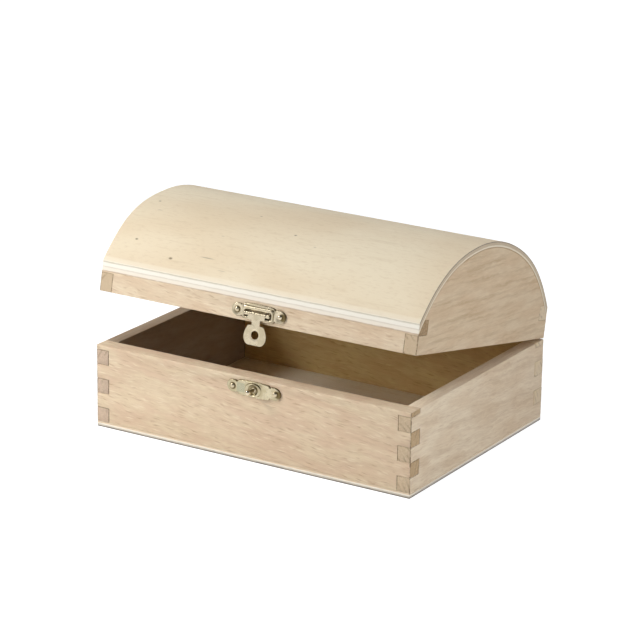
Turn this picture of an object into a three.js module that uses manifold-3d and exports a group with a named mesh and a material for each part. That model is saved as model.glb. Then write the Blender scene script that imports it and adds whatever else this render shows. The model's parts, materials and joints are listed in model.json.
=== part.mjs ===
// A small beech box with finger-jointed corners, a domed lid of bent plywood and a pressed-metal swing hasp.
// Millimetres, +Z up. The front faces -Y and the origin is the middle of the underside.
// The lid stands a little open, as it is kept for show, and turns about the hinge pins behind the back board.
import * as THREE from "three";
import { mergeVertices } from "three/addons/utils/BufferGeometryUtils.js";
import Module from "manifold-3d";

const wasm = await Module();
wasm.setup();

// Driving dimensions: the wooden box
const BOX_WIDTH = 180;
const BOX_DEPTH = 131.6;
const BOARD_HEIGHT = 40.2; // the base's boards, above the bottom panel
const PANEL_THICKNESS = 2.6;
const FRONT_THICKNESS = 8.2; // front and back boards, and both lid rails
const SIDE_THICKNESS = 7; // left and right boards, and both lid ends
const FINGER_PITCH = 7.55;
const LEAST_FINGER = 1.2; // a thinner last finger joins the one below it
const GLUE_LINE = 0.06;

// Driving dimensions: the lid
const SEAM_GAP = 0.2; // between base and closed lid
const LID_HEIGHT = 51.4; // to the crown of the dome
const LID_EDGE_HEIGHT = 15.6; // to the plywood's upper edge on the front face
const PLY_THICKNESS = 3;
const RAIL_HEIGHT = 16.6; // the rails' inner edge
const FINGER_BELOW_PLY = 0.5; // the ends' bottom finger stops this far under the plywood
const LID_OPEN_DEGREES = 11.7;

// Driving dimensions: the pressed plates of the hasp and of its catch
const CLASP_X = 3; // the clasp sits a little right of the middle
const SHEET = 0.6;
const SEAT_GAP = 0.05; // under everything that lies on wood
const PLATE_LENGTH = 30.4;
const PLATE_HEIGHT = 8.2;
const PLATE_BULGE = 0.5; // how far the long edges swell out at the middle
const BODY_LENGTH = 18; // the plate between its two nailed ears
const BODY_CORNER = 0.9;
const EAR_RADIUS = 3.1; // each ear ends round its nail
const NICK_LENGTH = 0.9; // the nick between body and ear
const NICK_DEPTH = 0.5;
const HASP_HEIGHT = 4.9; // the hasp plate's middle above the lid's lower edge

// Driving dimensions: the hasp's raised frame, knuckles and pin
const FRAME_LENGTH = 17.8;
const FRAME_HEIGHT = 6.2;
const FRAME_DROP = 0.2; // the frame's middle below the plate's
const FRAME_RISE = 0.9; // above the sheet
const FRAME_CORNER = 1.2;
const FRAME_ROUNDING = 0.4;
const WINDOW_LENGTH = 14.6;
const WINDOW_HEIGHT = 2.9; // its middle is the pin's axis
const HASP_KNUCKLE_RADIUS = 1.1;
const HASP_KNUCKLE_LENGTH = 2.2; // each of the two on the plate
const HASP_PIN_RADIUS = 0.5;
const HASP_AXIS_BELOW = 0.75; // the pin's axis below the plate's middle
const RUNNING_GAP = 0.1; // between turning pieces

// Driving dimensions: the hasp's tongue
const TONGUE_WIDTH = 13;
const TONGUE_LENGTH = 14.8; // from the pin's axis to the tip
const TONGUE_SHEET = 0.65;
const BARREL_LENGTH = 9.6;
const STRAP_LENGTH = 2.2; // the full-width part under the barrel
const NECK_WIDTH = 4.5;
const NECK_LENGTH = 3.15; // from under the strap to the shoulders
const TONGUE_TIP_WIDTH = 6.4;
const HOLE_DIAMETER = 4;
const HOLE_DROP = 9.8; // from the pin's axis to the hole's middle
const HOLE_DISH = 0.3; // depth of the dished rim
const HOLE_DISH_WIDTH = 0.6;

// Driving dimensions: the catch's boss and stud
const BOSS_LENGTH = 10.4;
const BOSS_HEIGHT = 7.2;
const BOSS_RISE = 0.7;
const BOSS_EDGE_SHARES = [[1, 0], [0.96, 0.6], [0.88, 1]]; // its rounded edge, of half height and rise
const CUP_RADIUS = 2.2; // the cup round the stud, as deep as the boss is high
const RIM_WIDTH = 0.8;
const RIM_RISE = 0.25; // above the boss
const STUD_NECK_RADIUS = 0.85;
const STUD_HEAD_RADIUS = 1.45;
const STUD_COLLAR_RADIUS = 1.5;
const STUD_COLLAR_HEIGHT = 0.4;
const STUD_LENGTH = 7.1; // from the wood to the head's tip

// Driving dimensions: the hinges
const HINGE_SPACING = 100;
const HINGE_WIDTH = 18;
const HINGE_SETBACK = 1.9; // the pin's axis behind the back board
const LEAF_SHEET = 0.7;
const LEAF_LENGTH = 8.4; // from the pin's axis
const LEAF_CORNER = 1.1;
const LEAF_NAIL_INSET = 3.6; // from the leaf's sides
const LEAF_NAIL_DROP = 5.4; // from the pin's axis
const HINGE_PIN_GAP = 0.08;
const HINGE_PIN_PROUD = 0.5;
const HINGE_PIN_END_SHARE = 0.7; // of its radius and of what stands proud, at each rounded end

// Driving dimensions: the nails
const NAIL_HEAD_RADIUS = 1.15;
const NAIL_HEAD_HEIGHT = 0.55;
const NAIL_HEAD_SHARES = [[1, 0], [0.93, 0.5], [0.6, 0.87]]; // the domed head, of radius and height
const NAIL_SHANK_RADIUS = 0.55;
const NAIL_LENGTH = 6.5; // below the head
const NAIL_TIP = 1.2;
const NAIL_HOLE_GAP = 0.12;

const OVERRUN = 1; // how far every cutting tool runs past the solid it cuts
const ARCH_SEGMENTS = 26;
const CURVE_SEGMENTS = 5;
const ROUND_SEGMENTS = 20;
const NAIL_SEGMENTS = 12;
const BOSS_SEGMENTS = 24;

// Worked out from the driving dimensions
const BASE_TOP = PANEL_THICKNESS + BOARD_HEIGHT;
const SEAM_Z = BASE_TOP + SEAM_GAP;
const HALF_WIDTH = BOX_WIDTH / 2;
const HALF_DEPTH = BOX_DEPTH / 2;
const DOME_RISE = LID_HEIGHT - LID_EDGE_HEIGHT;
const ARCH_RADIUS = (HALF_DEPTH ** 2 + DOME_RISE ** 2) / (2 * DOME_RISE);
const ARCH_CENTRE_Z = LID_HEIGHT - ARCH_RADIUS;
const INNER_ARCH_RADIUS = ARCH_RADIUS - PLY_THICKNESS;
const SUPPORT_RADIUS = INNER_ARCH_RADIUS - GLUE_LINE;
const PLY_LOWER_EDGE = archHeight(INNER_ARCH_RADIUS, HALF_DEPTH);
const LID_FINGER_TOP = PLY_LOWER_EDGE - FINGER_BELOW_PLY;
const HINGE_Y = HALF_DEPTH + HINGE_SETBACK;
const HINGE_Z = BASE_TOP + SEAM_GAP / 2;
const LEAF_NAIL_X = HINGE_WIDTH / 2 - LEAF_NAIL_INSET;
const EAR_X = PLATE_LENGTH / 2 - EAR_RADIUS;
const HASP_AXIS_OUT = HASP_KNUCKLE_RADIUS + 2 * RUNNING_GAP;
const HASP_AXIS_HEIGHT = HASP_HEIGHT - HASP_AXIS_BELOW;
const CATCH_Z = SEAM_Z + HASP_AXIS_HEIGHT - HOLE_DROP;

const MATERIALS = {
  frontBeech: new THREE.MeshStandardMaterial({ color: 0xdcbf9c, roughness: 0.75, metalness: 0 }),
  sideBeech: new THREE.MeshStandardMaterial({ color: 0xc2ab8c, roughness: 0.78, metalness: 0 }),
  plywood: new THREE.MeshStandardMaterial({ color: 0xe6d6b8, roughness: 0.7, metalness: 0 }),
  panel: new THREE.MeshStandardMaterial({ color: 0xcfc3ae, roughness: 0.8, metalness: 0 }),
  paleBrass: new THREE.MeshStandardMaterial({ color: 0xcfc7a0, roughness: 0.32, metalness: 0.9 }),
};

// Height above the lid's lower edge at which an arch of this radius stands at y.
function archHeight(radius, y) {
  return ARCH_CENTRE_Z + Math.sqrt(radius ** 2 - y ** 2);
}

// Half width of an arch of this radius at a height above the lid's lower edge.
function archHalfWidth(radius, height) {
  return Math.sqrt(radius ** 2 - (height - ARCH_CENTRE_Z) ** 2);
}

function named(name, geometry, material) {
  const mesh = new THREE.Mesh(geometry, material);
  mesh.name = name;
  return mesh;
}

// Joining and cutting closed geometries
function toSolid(geometry) {
  const bare = geometry.clone();
  bare.deleteAttribute("normal");
  bare.deleteAttribute("uv");
  const merged = mergeVertices(bare);
  return new wasm.Manifold(
    new wasm.Mesh({
      numProp: 3,
      vertProperties: merged.attributes.position.array,
      triVerts: new Uint32Array(merged.index.array),
    }),
  );
}

function toGeometry(solid) {
  const mesh = solid.getMesh();
  const geometry = new THREE.BufferGeometry();
  geometry.setAttribute("position", new THREE.BufferAttribute(mesh.vertProperties, mesh.numProp));
  geometry.setIndex(new THREE.BufferAttribute(mesh.triVerts, 1));
  geometry.computeVertexNormals();
  return geometry;
}

function join(geometries) {
  return toGeometry(geometries.map(toSolid).reduce((whole, piece) => whole.add(piece)));
}

function cut(geometry, tools) {
  return toGeometry(tools.map(toSolid).reduce((rest, tool) => rest.subtract(tool), toSolid(geometry)));
}

// Extrudes an outline drawn in (x, z) over a stretch of y.
function alongY(shape, fromY, toY) {
  const settings = { depth: toY - fromY, bevelEnabled: false, curveSegments: CURVE_SEGMENTS };
  return new THREE.ExtrudeGeometry(shape, settings).rotateX(Math.PI / 2).translate(0, toY, 0);
}

// Extrudes an outline drawn in (y, z) over a stretch of x.
function alongX(shape, fromX, toX, curveSegments = ARCH_SEGMENTS) {
  const settings = { depth: toX - fromX, bevelEnabled: false, curveSegments };
  return new THREE.ExtrudeGeometry(shape, settings)
    .rotateX(Math.PI / 2)
    .rotateZ(Math.PI / 2)
    .translate(fromX, 0, 0);
}

// Extrudes an outline drawn in (x, y) over a stretch of z.
function alongZ(shape, fromZ, toZ) {
  const settings = { depth: toZ - fromZ, bevelEnabled: false, curveSegments: CURVE_SEGMENTS };
  return new THREE.ExtrudeGeometry(shape, settings).translate(0, 0, fromZ);
}

function block(fromX, toX, fromY, toY, fromZ, toZ) {
  return new THREE.BoxGeometry(toX - fromX, toY - fromY, toZ - fromZ).translate(
    (fromX + toX) / 2,
    (fromY + toY) / 2,
    (fromZ + toZ) / 2,
  );
}

// A profile of [radius, height] pairs turned round +Z.
function turned(profile, segments) {
  const points = profile.map(([radius, height]) => new THREE.Vector2(radius, height));
  return new THREE.LatheGeometry(points, segments).rotateX(Math.PI / 2);
}

// A plain rod round +Z.
function rod(radius, fromZ, toZ, segments) {
  return turned([[0, fromZ], [radius, fromZ], [radius, toZ], [0, toZ]], segments);
}

// Corner fingers: the heights that bound them, from the bottom up.
function fingerBounds(bottom, top) {
  const bounds = [bottom];
  for (let z = bottom + FINGER_PITCH; z < top - LEAST_FINGER; z += FINGER_PITCH) bounds.push(z);
  bounds.push(top);
  return bounds;
}

// Outline of a board whose two ends carry fingers. Long fingers reach the outer face, the others stop at
// the shoulder, and long ones are narrowed at each glue line.
function fingerBoard(outer, shoulder, bounds, firstIsLong) {
  const isLong = (index) => (index % 2 === 0) === firstIsLong;
  const edge = [];
  for (let i = 0; i + 1 < bounds.length; i += 1) {
    const reach = isLong(i) ? outer : shoulder - GLUE_LINE;
    const inset = isLong(i) ? GLUE_LINE / 2 : -GLUE_LINE / 2;
    const low = bounds[i] + (i === 0 ? 0 : inset);
    const high = bounds[i + 1] - (i + 2 === bounds.length ? 0 : inset);
    edge.push([reach, low], [reach, high]);
  }
  const mirrored = edge.map(([reach, z]) => [-reach, z]).reverse();
  return new THREE.Shape([...edge, ...mirrored].map(([x, z]) => new THREE.Vector2(x, z)));
}

// Nails: head and shank round +Z, the head's underside at z = 0.
function nailGeometry() {
  return turned(
    [
      [0, -NAIL_LENGTH],
      [NAIL_SHANK_RADIUS, NAIL_TIP - NAIL_LENGTH],
      [NAIL_SHANK_RADIUS, 0],
      ...NAIL_HEAD_SHARES.map(([radius, height]) => [radius * NAIL_HEAD_RADIUS, height * NAIL_HEAD_HEIGHT]),
      [0, NAIL_HEAD_HEIGHT],
    ],
    NAIL_SEGMENTS,
  );
}

// The hole for one nail, deep enough for its shank, through whatever lies at z = 0.
function nailHole() {
  return rod(NAIL_SHANK_RADIUS + NAIL_HOLE_GAP, -NAIL_LENGTH - NAIL_HOLE_GAP, OVERRUN, NAIL_SEGMENTS);
}

// Places a geometry made round +Z so that +Z points out of the front face.
function outOfFront(geometry, x, y, z) {
  return geometry.rotateX(Math.PI / 2).translate(x, y, z);
}

// Places a geometry made round +Z so that +Z points out of the back face.
function outOfBack(geometry, x, y, z) {
  return geometry.rotateX(-Math.PI / 2).translate(x, y, z);
}

function claspNailPlaces(height) {
  return [-1, 1].map((side) => ({ x: CLASP_X + side * EAR_X, z: height }));
}

function hingeNailPlaces(direction) {
  const places = [];
  for (const hingeSide of [-1, 1]) {
    for (const nailSide of [-1, 1]) {
      places.push({
        x: (hingeSide * HINGE_SPACING) / 2 + nailSide * LEAF_NAIL_X,
        z: HINGE_Z + direction * LEAF_NAIL_DROP,
      });
    }
  }
  return places;
}

// The base
function makeBaseBoards() {
  const bottom = PANEL_THICKNESS + GLUE_LINE;
  const bounds = fingerBounds(bottom, BASE_TOP);
  const longBoard = fingerBoard(HALF_WIDTH, HALF_WIDTH - SIDE_THICKNESS, bounds, false);
  const shortBoard = fingerBoard(HALF_DEPTH, HALF_DEPTH - FRONT_THICKNESS, bounds, true);
  const frontHoles = claspNailPlaces(CATCH_Z).map(({ x, z }) => outOfFront(nailHole(), x, -HALF_DEPTH, z));
  const backHoles = hingeNailPlaces(-1).map(({ x, z }) => outOfBack(nailHole(), x, HALF_DEPTH, z));
  const front = alongY(longBoard, -HALF_DEPTH, -HALF_DEPTH + FRONT_THICKNESS);
  const back = alongY(longBoard, HALF_DEPTH - FRONT_THICKNESS, HALF_DEPTH);
  const left = alongX(shortBoard, -HALF_WIDTH, -HALF_WIDTH + SIDE_THICKNESS);
  const right = alongX(shortBoard, HALF_WIDTH - SIDE_THICKNESS, HALF_WIDTH);
  return [
    named("base_front_board", cut(front, frontHoles), MATERIALS.frontBeech),
    named("base_back_board", cut(back, backHoles), MATERIALS.frontBeech),
    named("base_left_board", left, MATERIALS.sideBeech),
    named("base_right_board", right, MATERIALS.sideBeech),
  ];
}

function makeBottomPanel() {
  const panel = block(-HALF_WIDTH, HALF_WIDTH, -HALF_DEPTH, HALF_DEPTH, 0, PANEL_THICKNESS);
  return named("base_bottom_panel", panel, MATERIALS.panel);
}

// The lid. Its pieces are drawn closed, with heights above the lid's lower edge.
function railSection() {
  const inner = HALF_DEPTH - FRONT_THICKNESS;
  const shoulder = archHalfWidth(SUPPORT_RADIUS, RAIL_HEIGHT);
  const low = archHeight(SUPPORT_RADIUS, HALF_DEPTH);
  const section = new THREE.Shape();
  section.moveTo(inner, 0);
  section.lineTo(HALF_DEPTH, 0);
  section.lineTo(HALF_DEPTH, low);
  section.absarc(
    0,
    ARCH_CENTRE_Z,
    SUPPORT_RADIUS,
    Math.atan2(low - ARCH_CENTRE_Z, HALF_DEPTH),
    Math.atan2(RAIL_HEIGHT - ARCH_CENTRE_Z, shoulder),
    false,
  );
  section.lineTo(inner, RAIL_HEIGHT);
  return section;
}

// The back rail as drawn. The front rail is the same one turned half round.
function makeRail() {
  const rail = alongX(railSection(), -HALF_WIDTH, HALF_WIDTH, CURVE_SEGMENTS);
  const shoulder = HALF_WIDTH - SIDE_THICKNESS - GLUE_LINE;
  const top = LID_FINGER_TOP + GLUE_LINE / 2;
  const tools = [-1, 1].map((side) => {
    const near = Math.min(side * shoulder, side * (HALF_WIDTH + OVERRUN));
    const far = Math.max(side * shoulder, side * (HALF_WIDTH + OVERRUN));
    return block(near, far, 0, HALF_DEPTH + OVERRUN, -OVERRUN, top);
  });
  return cut(rail, tools);
}

function makeLidRails() {
  const lift = ({ x, z }) => ({ x, z: z - SEAM_Z });
  const backHoles = hingeNailPlaces(1)
    .map(lift)
    .map(({ x, z }) => outOfBack(nailHole(), x, HALF_DEPTH, z));
  const frontHoles = claspNailPlaces(HASP_HEIGHT).map(({ x, z }) => outOfFront(nailHole(), x, -HALF_DEPTH, z));
  return [
    named("lid_front_rail", cut(makeRail().rotateZ(Math.PI), frontHoles), MATERIALS.frontBeech),
    named("lid_back_rail", cut(makeRail(), backHoles), MATERIALS.frontBeech),
  ];
}

// D-shaped end: a bottom finger, a notch for the rail's finger, and the arch above.
function lidEndShape() {
  const notch = HALF_DEPTH - FRONT_THICKNESS - GLUE_LINE;
  const fingerTop = LID_FINGER_TOP - GLUE_LINE / 2;
  const ledge = RAIL_HEIGHT + GLUE_LINE;
  const reach = archHalfWidth(SUPPORT_RADIUS, ledge);
  const angle = Math.atan2(ledge - ARCH_CENTRE_Z, reach);
  const shape = new THREE.Shape();
  shape.moveTo(-HALF_DEPTH, 0);
  shape.lineTo(HALF_DEPTH, 0);
  shape.lineTo(HALF_DEPTH, fingerTop);
  shape.lineTo(notch, fingerTop);
  shape.lineTo(notch, ledge);
  shape.absarc(0, ARCH_CENTRE_Z, SUPPORT_RADIUS, angle, Math.PI - angle, false);
  shape.lineTo(-notch, ledge);
  shape.lineTo(-notch, fingerTop);
  shape.lineTo(-HALF_DEPTH, fingerTop);
  return shape;
}

function makeLidEnds() {
  const shape = lidEndShape();
  const left = alongX(shape, -HALF_WIDTH, -HALF_WIDTH + SIDE_THICKNESS);
  const right = alongX(shape, HALF_WIDTH - SIDE_THICKNESS, HALF_WIDTH);
  return [
    named("lid_left_end", left, MATERIALS.sideBeech),
    named("lid_right_end", right, MATERIALS.sideBeech),
  ];
}

// Bent plywood, trimmed upright along the front and back faces.
function makePlyCover() {
  const upper = Math.atan2(LID_EDGE_HEIGHT - ARCH_CENTRE_Z, HALF_DEPTH);
  const lower = Math.atan2(PLY_LOWER_EDGE - ARCH_CENTRE_Z, HALF_DEPTH);
  const section = new THREE.Shape();
  section.absarc(0, ARCH_CENTRE_Z, ARCH_RADIUS, upper, Math.PI - upper, false);
  section.absarc(0, ARCH_CENTRE_Z, INNER_ARCH_RADIUS, Math.PI - lower, lower, true);
  return named("lid_plywood_cover", alongX(section, -HALF_WIDTH, HALF_WIDTH), MATERIALS.plywood);
}

// The clasp. Its pieces are drawn in (x, y) as seen from the front, with +Z out of the wood.
// Outline of both plates: a slightly swollen body between two round ears, with a small nick before each ear.
function escutcheonShape() {
  const halfBody = BODY_LENGTH / 2;
  const halfHeight = PLATE_HEIGHT / 2;
  const shoulder = halfHeight - PLATE_BULGE;
  const nickX = halfBody + NICK_LENGTH / 2;
  const nickY = EAR_RADIUS - NICK_DEPTH;
  const shape = new THREE.Shape();
  shape.moveTo(BODY_CORNER - halfBody, -shoulder);
  shape.quadraticCurveTo(0, -halfHeight - PLATE_BULGE, halfBody - BODY_CORNER, -shoulder);
  shape.quadraticCurveTo(halfBody, -shoulder, nickX, -nickY);
  shape.lineTo(halfBody + NICK_LENGTH, -EAR_RADIUS);
  shape.absarc(EAR_X, 0, EAR_RADIUS, -Math.PI / 2, Math.PI / 2, false);
  shape.lineTo(halfBody + NICK_LENGTH, EAR_RADIUS);
  shape.lineTo(nickX, nickY);
  shape.quadraticCurveTo(halfBody, shoulder, halfBody - BODY_CORNER, shoulder);
  shape.quadraticCurveTo(0, halfHeight + PLATE_BULGE, BODY_CORNER - halfBody, shoulder);
  shape.quadraticCurveTo(-halfBody, shoulder, -nickX, nickY);
  shape.lineTo(-halfBody - NICK_LENGTH, EAR_RADIUS);
  shape.absarc(-EAR_X, 0, EAR_RADIUS, Math.PI / 2, (Math.PI * 3) / 2, false);
  shape.lineTo(-halfBody - NICK_LENGTH, -EAR_RADIUS);
  shape.lineTo(-nickX, -nickY);
  shape.quadraticCurveTo(-halfBody, -shoulder, BODY_CORNER - halfBody, -shoulder);
  return shape;
}

// Rounded rectangle, its middle on x = 0 at the given height.
function roundedRectangle(Kind, middle, halfLength, halfHeight, corner) {
  const right = halfLength - corner;
  const low = middle + corner - halfHeight;
  const high = middle + halfHeight - corner;
  const path = new Kind();
  path.moveTo(-right, middle - halfHeight);
  path.lineTo(right, middle - halfHeight);
  path.absarc(right, low, corner, -Math.PI / 2, 0, false);
  path.absarc(right, high, corner, 0, Math.PI / 2, false);
  path.absarc(-right, high, corner, Math.PI / 2, Math.PI, false);
  path.absarc(-right, low, corner, Math.PI, (Math.PI * 3) / 2, false);
  return path;
}

function plateSheet() {
  const sheet = alongZ(escutcheonShape(), SEAT_GAP, SEAT_GAP + SHEET);
  const holes = [-1, 1].map((side) => nailHole().translate(side * EAR_X, 0, 0));
  return cut(sheet, holes);
}

// The raised frame round the window, its bars rounded over by the bevel.
function frameRing() {
  const halfLength = FRAME_LENGTH / 2 - FRAME_ROUNDING;
  const halfHeight = FRAME_HEIGHT / 2 - FRAME_ROUNDING;
  const innerHalfLength = WINDOW_LENGTH / 2 + FRAME_ROUNDING;
  const innerHalfHeight = WINDOW_HEIGHT / 2 + FRAME_ROUNDING;
  const ring = roundedRectangle(THREE.Shape, -FRAME_DROP, halfLength, halfHeight, FRAME_CORNER);
  const corner = FRAME_ROUNDING;
  ring.holes.push(roundedRectangle(THREE.Path, -HASP_AXIS_BELOW, innerHalfLength, innerHalfHeight, corner));
  const rounding = SHEET / 2;
  const settings = {
    depth: FRAME_RISE - rounding,
    bevelEnabled: true,
    bevelThickness: rounding,
    bevelSize: FRAME_ROUNDING,
    bevelSegments: 2,
    curveSegments: CURVE_SEGMENTS,
  };
  return new THREE.ExtrudeGeometry(ring, settings).translate(0, 0, SEAT_GAP + SHEET);
}

// Turns a rod made round +Z so that it lies along X at the hasp's axis, in the plate's own frame.
function onHaspAxis(geometry) {
  return geometry.rotateY(Math.PI / 2).translate(0, -HASP_AXIS_BELOW, HASP_AXIS_OUT);
}

function makeHaspPlate() {
  const halfBarrel = BARREL_LENGTH / 2;
  const windowHalf = halfBarrel + RUNNING_GAP;
  const slotHalf = WINDOW_LENGTH / 2;
  const windowLow = -HASP_AXIS_BELOW - WINDOW_HEIGHT / 2;
  const windowHigh = WINDOW_HEIGHT / 2 - HASP_AXIS_BELOW;
  const knuckleTop = HASP_KNUCKLE_RADIUS - HASP_AXIS_BELOW;
  const knuckles = [-1, 1].map((side) => {
    const start = side > 0 ? windowHalf : -windowHalf - HASP_KNUCKLE_LENGTH;
    return onHaspAxis(rod(HASP_KNUCKLE_RADIUS, start, start + HASP_KNUCKLE_LENGTH, ROUND_SEGMENTS));
  });
  const solid = join([plateSheet(), frameRing(), ...knuckles]);
  const tools = [
    block(-windowHalf, windowHalf, windowLow, windowHigh, -OVERRUN, SEAT_GAP + SHEET + OVERRUN),
    block(-slotHalf, slotHalf, knuckleTop, windowHigh, -OVERRUN, SEAT_GAP + SHEET + OVERRUN),
    onHaspAxis(rod(HASP_PIN_RADIUS + RUNNING_GAP, -slotHalf, slotHalf, ROUND_SEGMENTS)),
  ];
  return named("hasp_plate", cut(solid, tools), MATERIALS.paleBrass);
}

function makeHaspPin() {
  const half = WINDOW_LENGTH / 2 - RUNNING_GAP;
  return named("hasp_pin", onHaspAxis(rod(HASP_PIN_RADIUS, -half, half, NAIL_SEGMENTS)), MATERIALS.paleBrass);
}

// The tongue as seen from the front, measured from the pin's axis: strap, neck, then a drop with a flat tip.
function tongueShape() {
  const strap = BARREL_LENGTH / 2;
  const neck = NECK_WIDTH / 2;
  const half = TONGUE_WIDTH / 2;
  const tip = TONGUE_TIP_WIDTH / 2;
  const neckTop = -STRAP_LENGTH - (strap - neck) / 2;
  const shoulder = -STRAP_LENGTH - NECK_LENGTH;
  const widest = -HOLE_DROP - HOLE_DIAMETER / 4;
  const shoulderHalf = (neck + half) / 2;
  const flare = (shoulder - widest) / 3;
  const lowerBend = (widest - 2 * TONGUE_LENGTH) / 3;
  const right = new THREE.Path();
  right.moveTo(strap, 0);
  right.lineTo(strap, -STRAP_LENGTH);
  right.quadraticCurveTo(neck, -STRAP_LENGTH, neck, neckTop);
  right.lineTo(neck, (neckTop + shoulder) / 2);
  right.quadraticCurveTo(neck, shoulder, shoulderHalf, shoulder);
  right.bezierCurveTo((shoulderHalf + 2 * half) / 3, shoulder - flare, half, widest + flare, half, widest);
  right.bezierCurveTo(half, lowerBend, tip + neck / 2, -TONGUE_LENGTH, tip, -TONGUE_LENGTH);
  const points = right.getPoints(CURVE_SEGMENTS + 2);
  const mirrored = points.map((point) => new THREE.Vector2(-point.x, point.y)).reverse();
  return new THREE.Shape([...points, ...mirrored]);
}

function makeTongue() {
  const front = HASP_KNUCKLE_RADIUS;
  const back = front - TONGUE_SHEET;
  const barrel = rod(HASP_KNUCKLE_RADIUS, -BARREL_LENGTH / 2, BARREL_LENGTH / 2, ROUND_SEGMENTS);
  const blade = alongZ(tongueShape(), back, front);
  const hole = HOLE_DIAMETER / 2;
  const studHole = rod(hole, back - OVERRUN, front + OVERRUN, ROUND_SEGMENTS).translate(0, -HOLE_DROP, 0);
  const dish = turned(
    [
      [0, front - HOLE_DISH],
      [hole, front - HOLE_DISH],
      [hole + HOLE_DISH_WIDTH, front],
      [hole + HOLE_DISH_WIDTH, front + OVERRUN],
      [0, front + OVERRUN],
    ],
    ROUND_SEGMENTS,
  ).translate(0, -HOLE_DROP, 0);
  const bore = rod(HASP_PIN_RADIUS + RUNNING_GAP, -BARREL_LENGTH, BARREL_LENGTH, ROUND_SEGMENTS);
  const solid = join([barrel.rotateY(Math.PI / 2), blade]);
  const shape = cut(solid, [studHole, dish, bore.rotateY(Math.PI / 2)]);
  const tongue = named("hasp_tongue", shape, MATERIALS.paleBrass);
  tongue.position.set(0, -HASP_AXIS_BELOW, HASP_AXIS_OUT);
  return tongue;
}

// The catch's plate: an oval boss with a cup round the stud and a turned-up rim round the cup.
function makeCatchPlate() {
  const sheetTop = SEAT_GAP + SHEET;
  const bossTop = sheetTop + BOSS_RISE;
  const half = BOSS_HEIGHT / 2;
  const boss = turned(
    [
      [0, SEAT_GAP + SHEET / 2],
      [half, SEAT_GAP + SHEET / 2],
      ...BOSS_EDGE_SHARES.map(([radius, rise]) => [radius * half, sheetTop + rise * BOSS_RISE]),
      [0, bossTop],
    ],
    BOSS_SEGMENTS,
  ).scale(BOSS_LENGTH / BOSS_HEIGHT, 1, 1);
  const rim = turned(
    [
      [0, sheetTop],
      [CUP_RADIUS + RIM_WIDTH, sheetTop],
      [CUP_RADIUS + RIM_WIDTH, bossTop],
      [CUP_RADIUS + (2 * RIM_WIDTH) / 3, bossTop + RIM_RISE],
      [0, bossTop + RIM_RISE],
    ],
    ROUND_SEGMENTS,
  );
  const cup = turned(
    [
      [0, sheetTop],
      [CUP_RADIUS, sheetTop],
      [CUP_RADIUS, bossTop],
      [CUP_RADIUS + RIM_WIDTH / 3, bossTop + RIM_RISE],
      [CUP_RADIUS + RIM_WIDTH / 3, bossTop + OVERRUN],
      [0, bossTop + OVERRUN],
    ],
    ROUND_SEGMENTS,
  );
  const studHole = rod(STUD_NECK_RADIUS + NAIL_HOLE_GAP, -OVERRUN, bossTop + OVERRUN, ROUND_SEGMENTS);
  return named("catch_plate", cut(join([plateSheet(), boss, rim]), [cup, studHole]), MATERIALS.paleBrass);
}

// The stud: a tail through the plate, a collar in the cup, a neck and a ball head that passes the tongue's hole.
function makeCatchStud() {
  const seat = SEAT_GAP + SHEET + SEAT_GAP;
  const collarTop = seat + STUD_COLLAR_HEIGHT;
  const ballZ = STUD_LENGTH - STUD_HEAD_RADIUS;
  const neckAngle = Math.asin(STUD_NECK_RADIUS / STUD_HEAD_RADIUS);
  const profile = [
    [0, SEAT_GAP],
    [STUD_NECK_RADIUS, SEAT_GAP],
    [STUD_NECK_RADIUS, seat],
    [STUD_COLLAR_RADIUS, seat],
    [STUD_COLLAR_RADIUS, collarTop],
    [STUD_NECK_RADIUS, collarTop],
  ];
  const steps = CURVE_SEGMENTS + 1;
  for (let i = 0; i < steps; i += 1) {
    const angle = Math.PI - neckAngle - ((Math.PI - neckAngle) * i) / steps;
    profile.push([STUD_HEAD_RADIUS * Math.sin(angle), ballZ + STUD_HEAD_RADIUS * Math.cos(angle)]);
  }
  profile.push([0, STUD_LENGTH]);
  return named("catch_stud", turned(profile, ROUND_SEGMENTS), MATERIALS.paleBrass);
}

function makeClaspNails(prefix) {
  return [-1, 1].map((side) => {
    const nail = named(`${prefix}_nail_${side < 0 ? "left" : "right"}`, nailGeometry(), MATERIALS.paleBrass);
    nail.position.set(side * EAR_X, 0, SEAT_GAP + SHEET + SEAT_GAP);
    return nail;
  });
}

// A group whose own (x, y) plane is the front face, its +Z pointing out of it.
function frontGroup(height, meshes) {
  const group = new THREE.Group();
  group.rotation.x = Math.PI / 2;
  group.position.set(CLASP_X, -HALF_DEPTH, height);
  group.add(...meshes);
  return group;
}

// The hinges. Sections are drawn in (y, z) from the pin's axis, with the leaf going up.
function knuckleSection() {
  const radius = HINGE_SETBACK - SEAT_GAP;
  const face = LEAF_SHEET - radius;
  const end = Math.PI - Math.acos(-face / radius);
  const section = new THREE.Shape();
  section.moveTo(-radius, radius + LEAF_CORNER);
  section.absarc(0, 0, radius, Math.PI, 2 * Math.PI + end, false);
  section.lineTo(face, radius + LEAF_CORNER);
  const bore = new THREE.Path();
  bore.absarc(0, 0, radius - LEAF_SHEET, 0, 2 * Math.PI, true);
  section.holes.push(bore);
  return section;
}

function leafSheetShape() {
  const half = HINGE_WIDTH / 2;
  const start = HINGE_SETBACK + RUNNING_GAP;
  const shape = new THREE.Shape();
  shape.moveTo(-half, start);
  shape.lineTo(half, start);
  shape.absarc(half - LEAF_CORNER, LEAF_LENGTH - LEAF_CORNER, LEAF_CORNER, 0, Math.PI / 2, false);
  shape.absarc(LEAF_CORNER - half, LEAF_LENGTH - LEAF_CORNER, LEAF_CORNER, Math.PI / 2, Math.PI, false);
  return shape;
}

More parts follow.
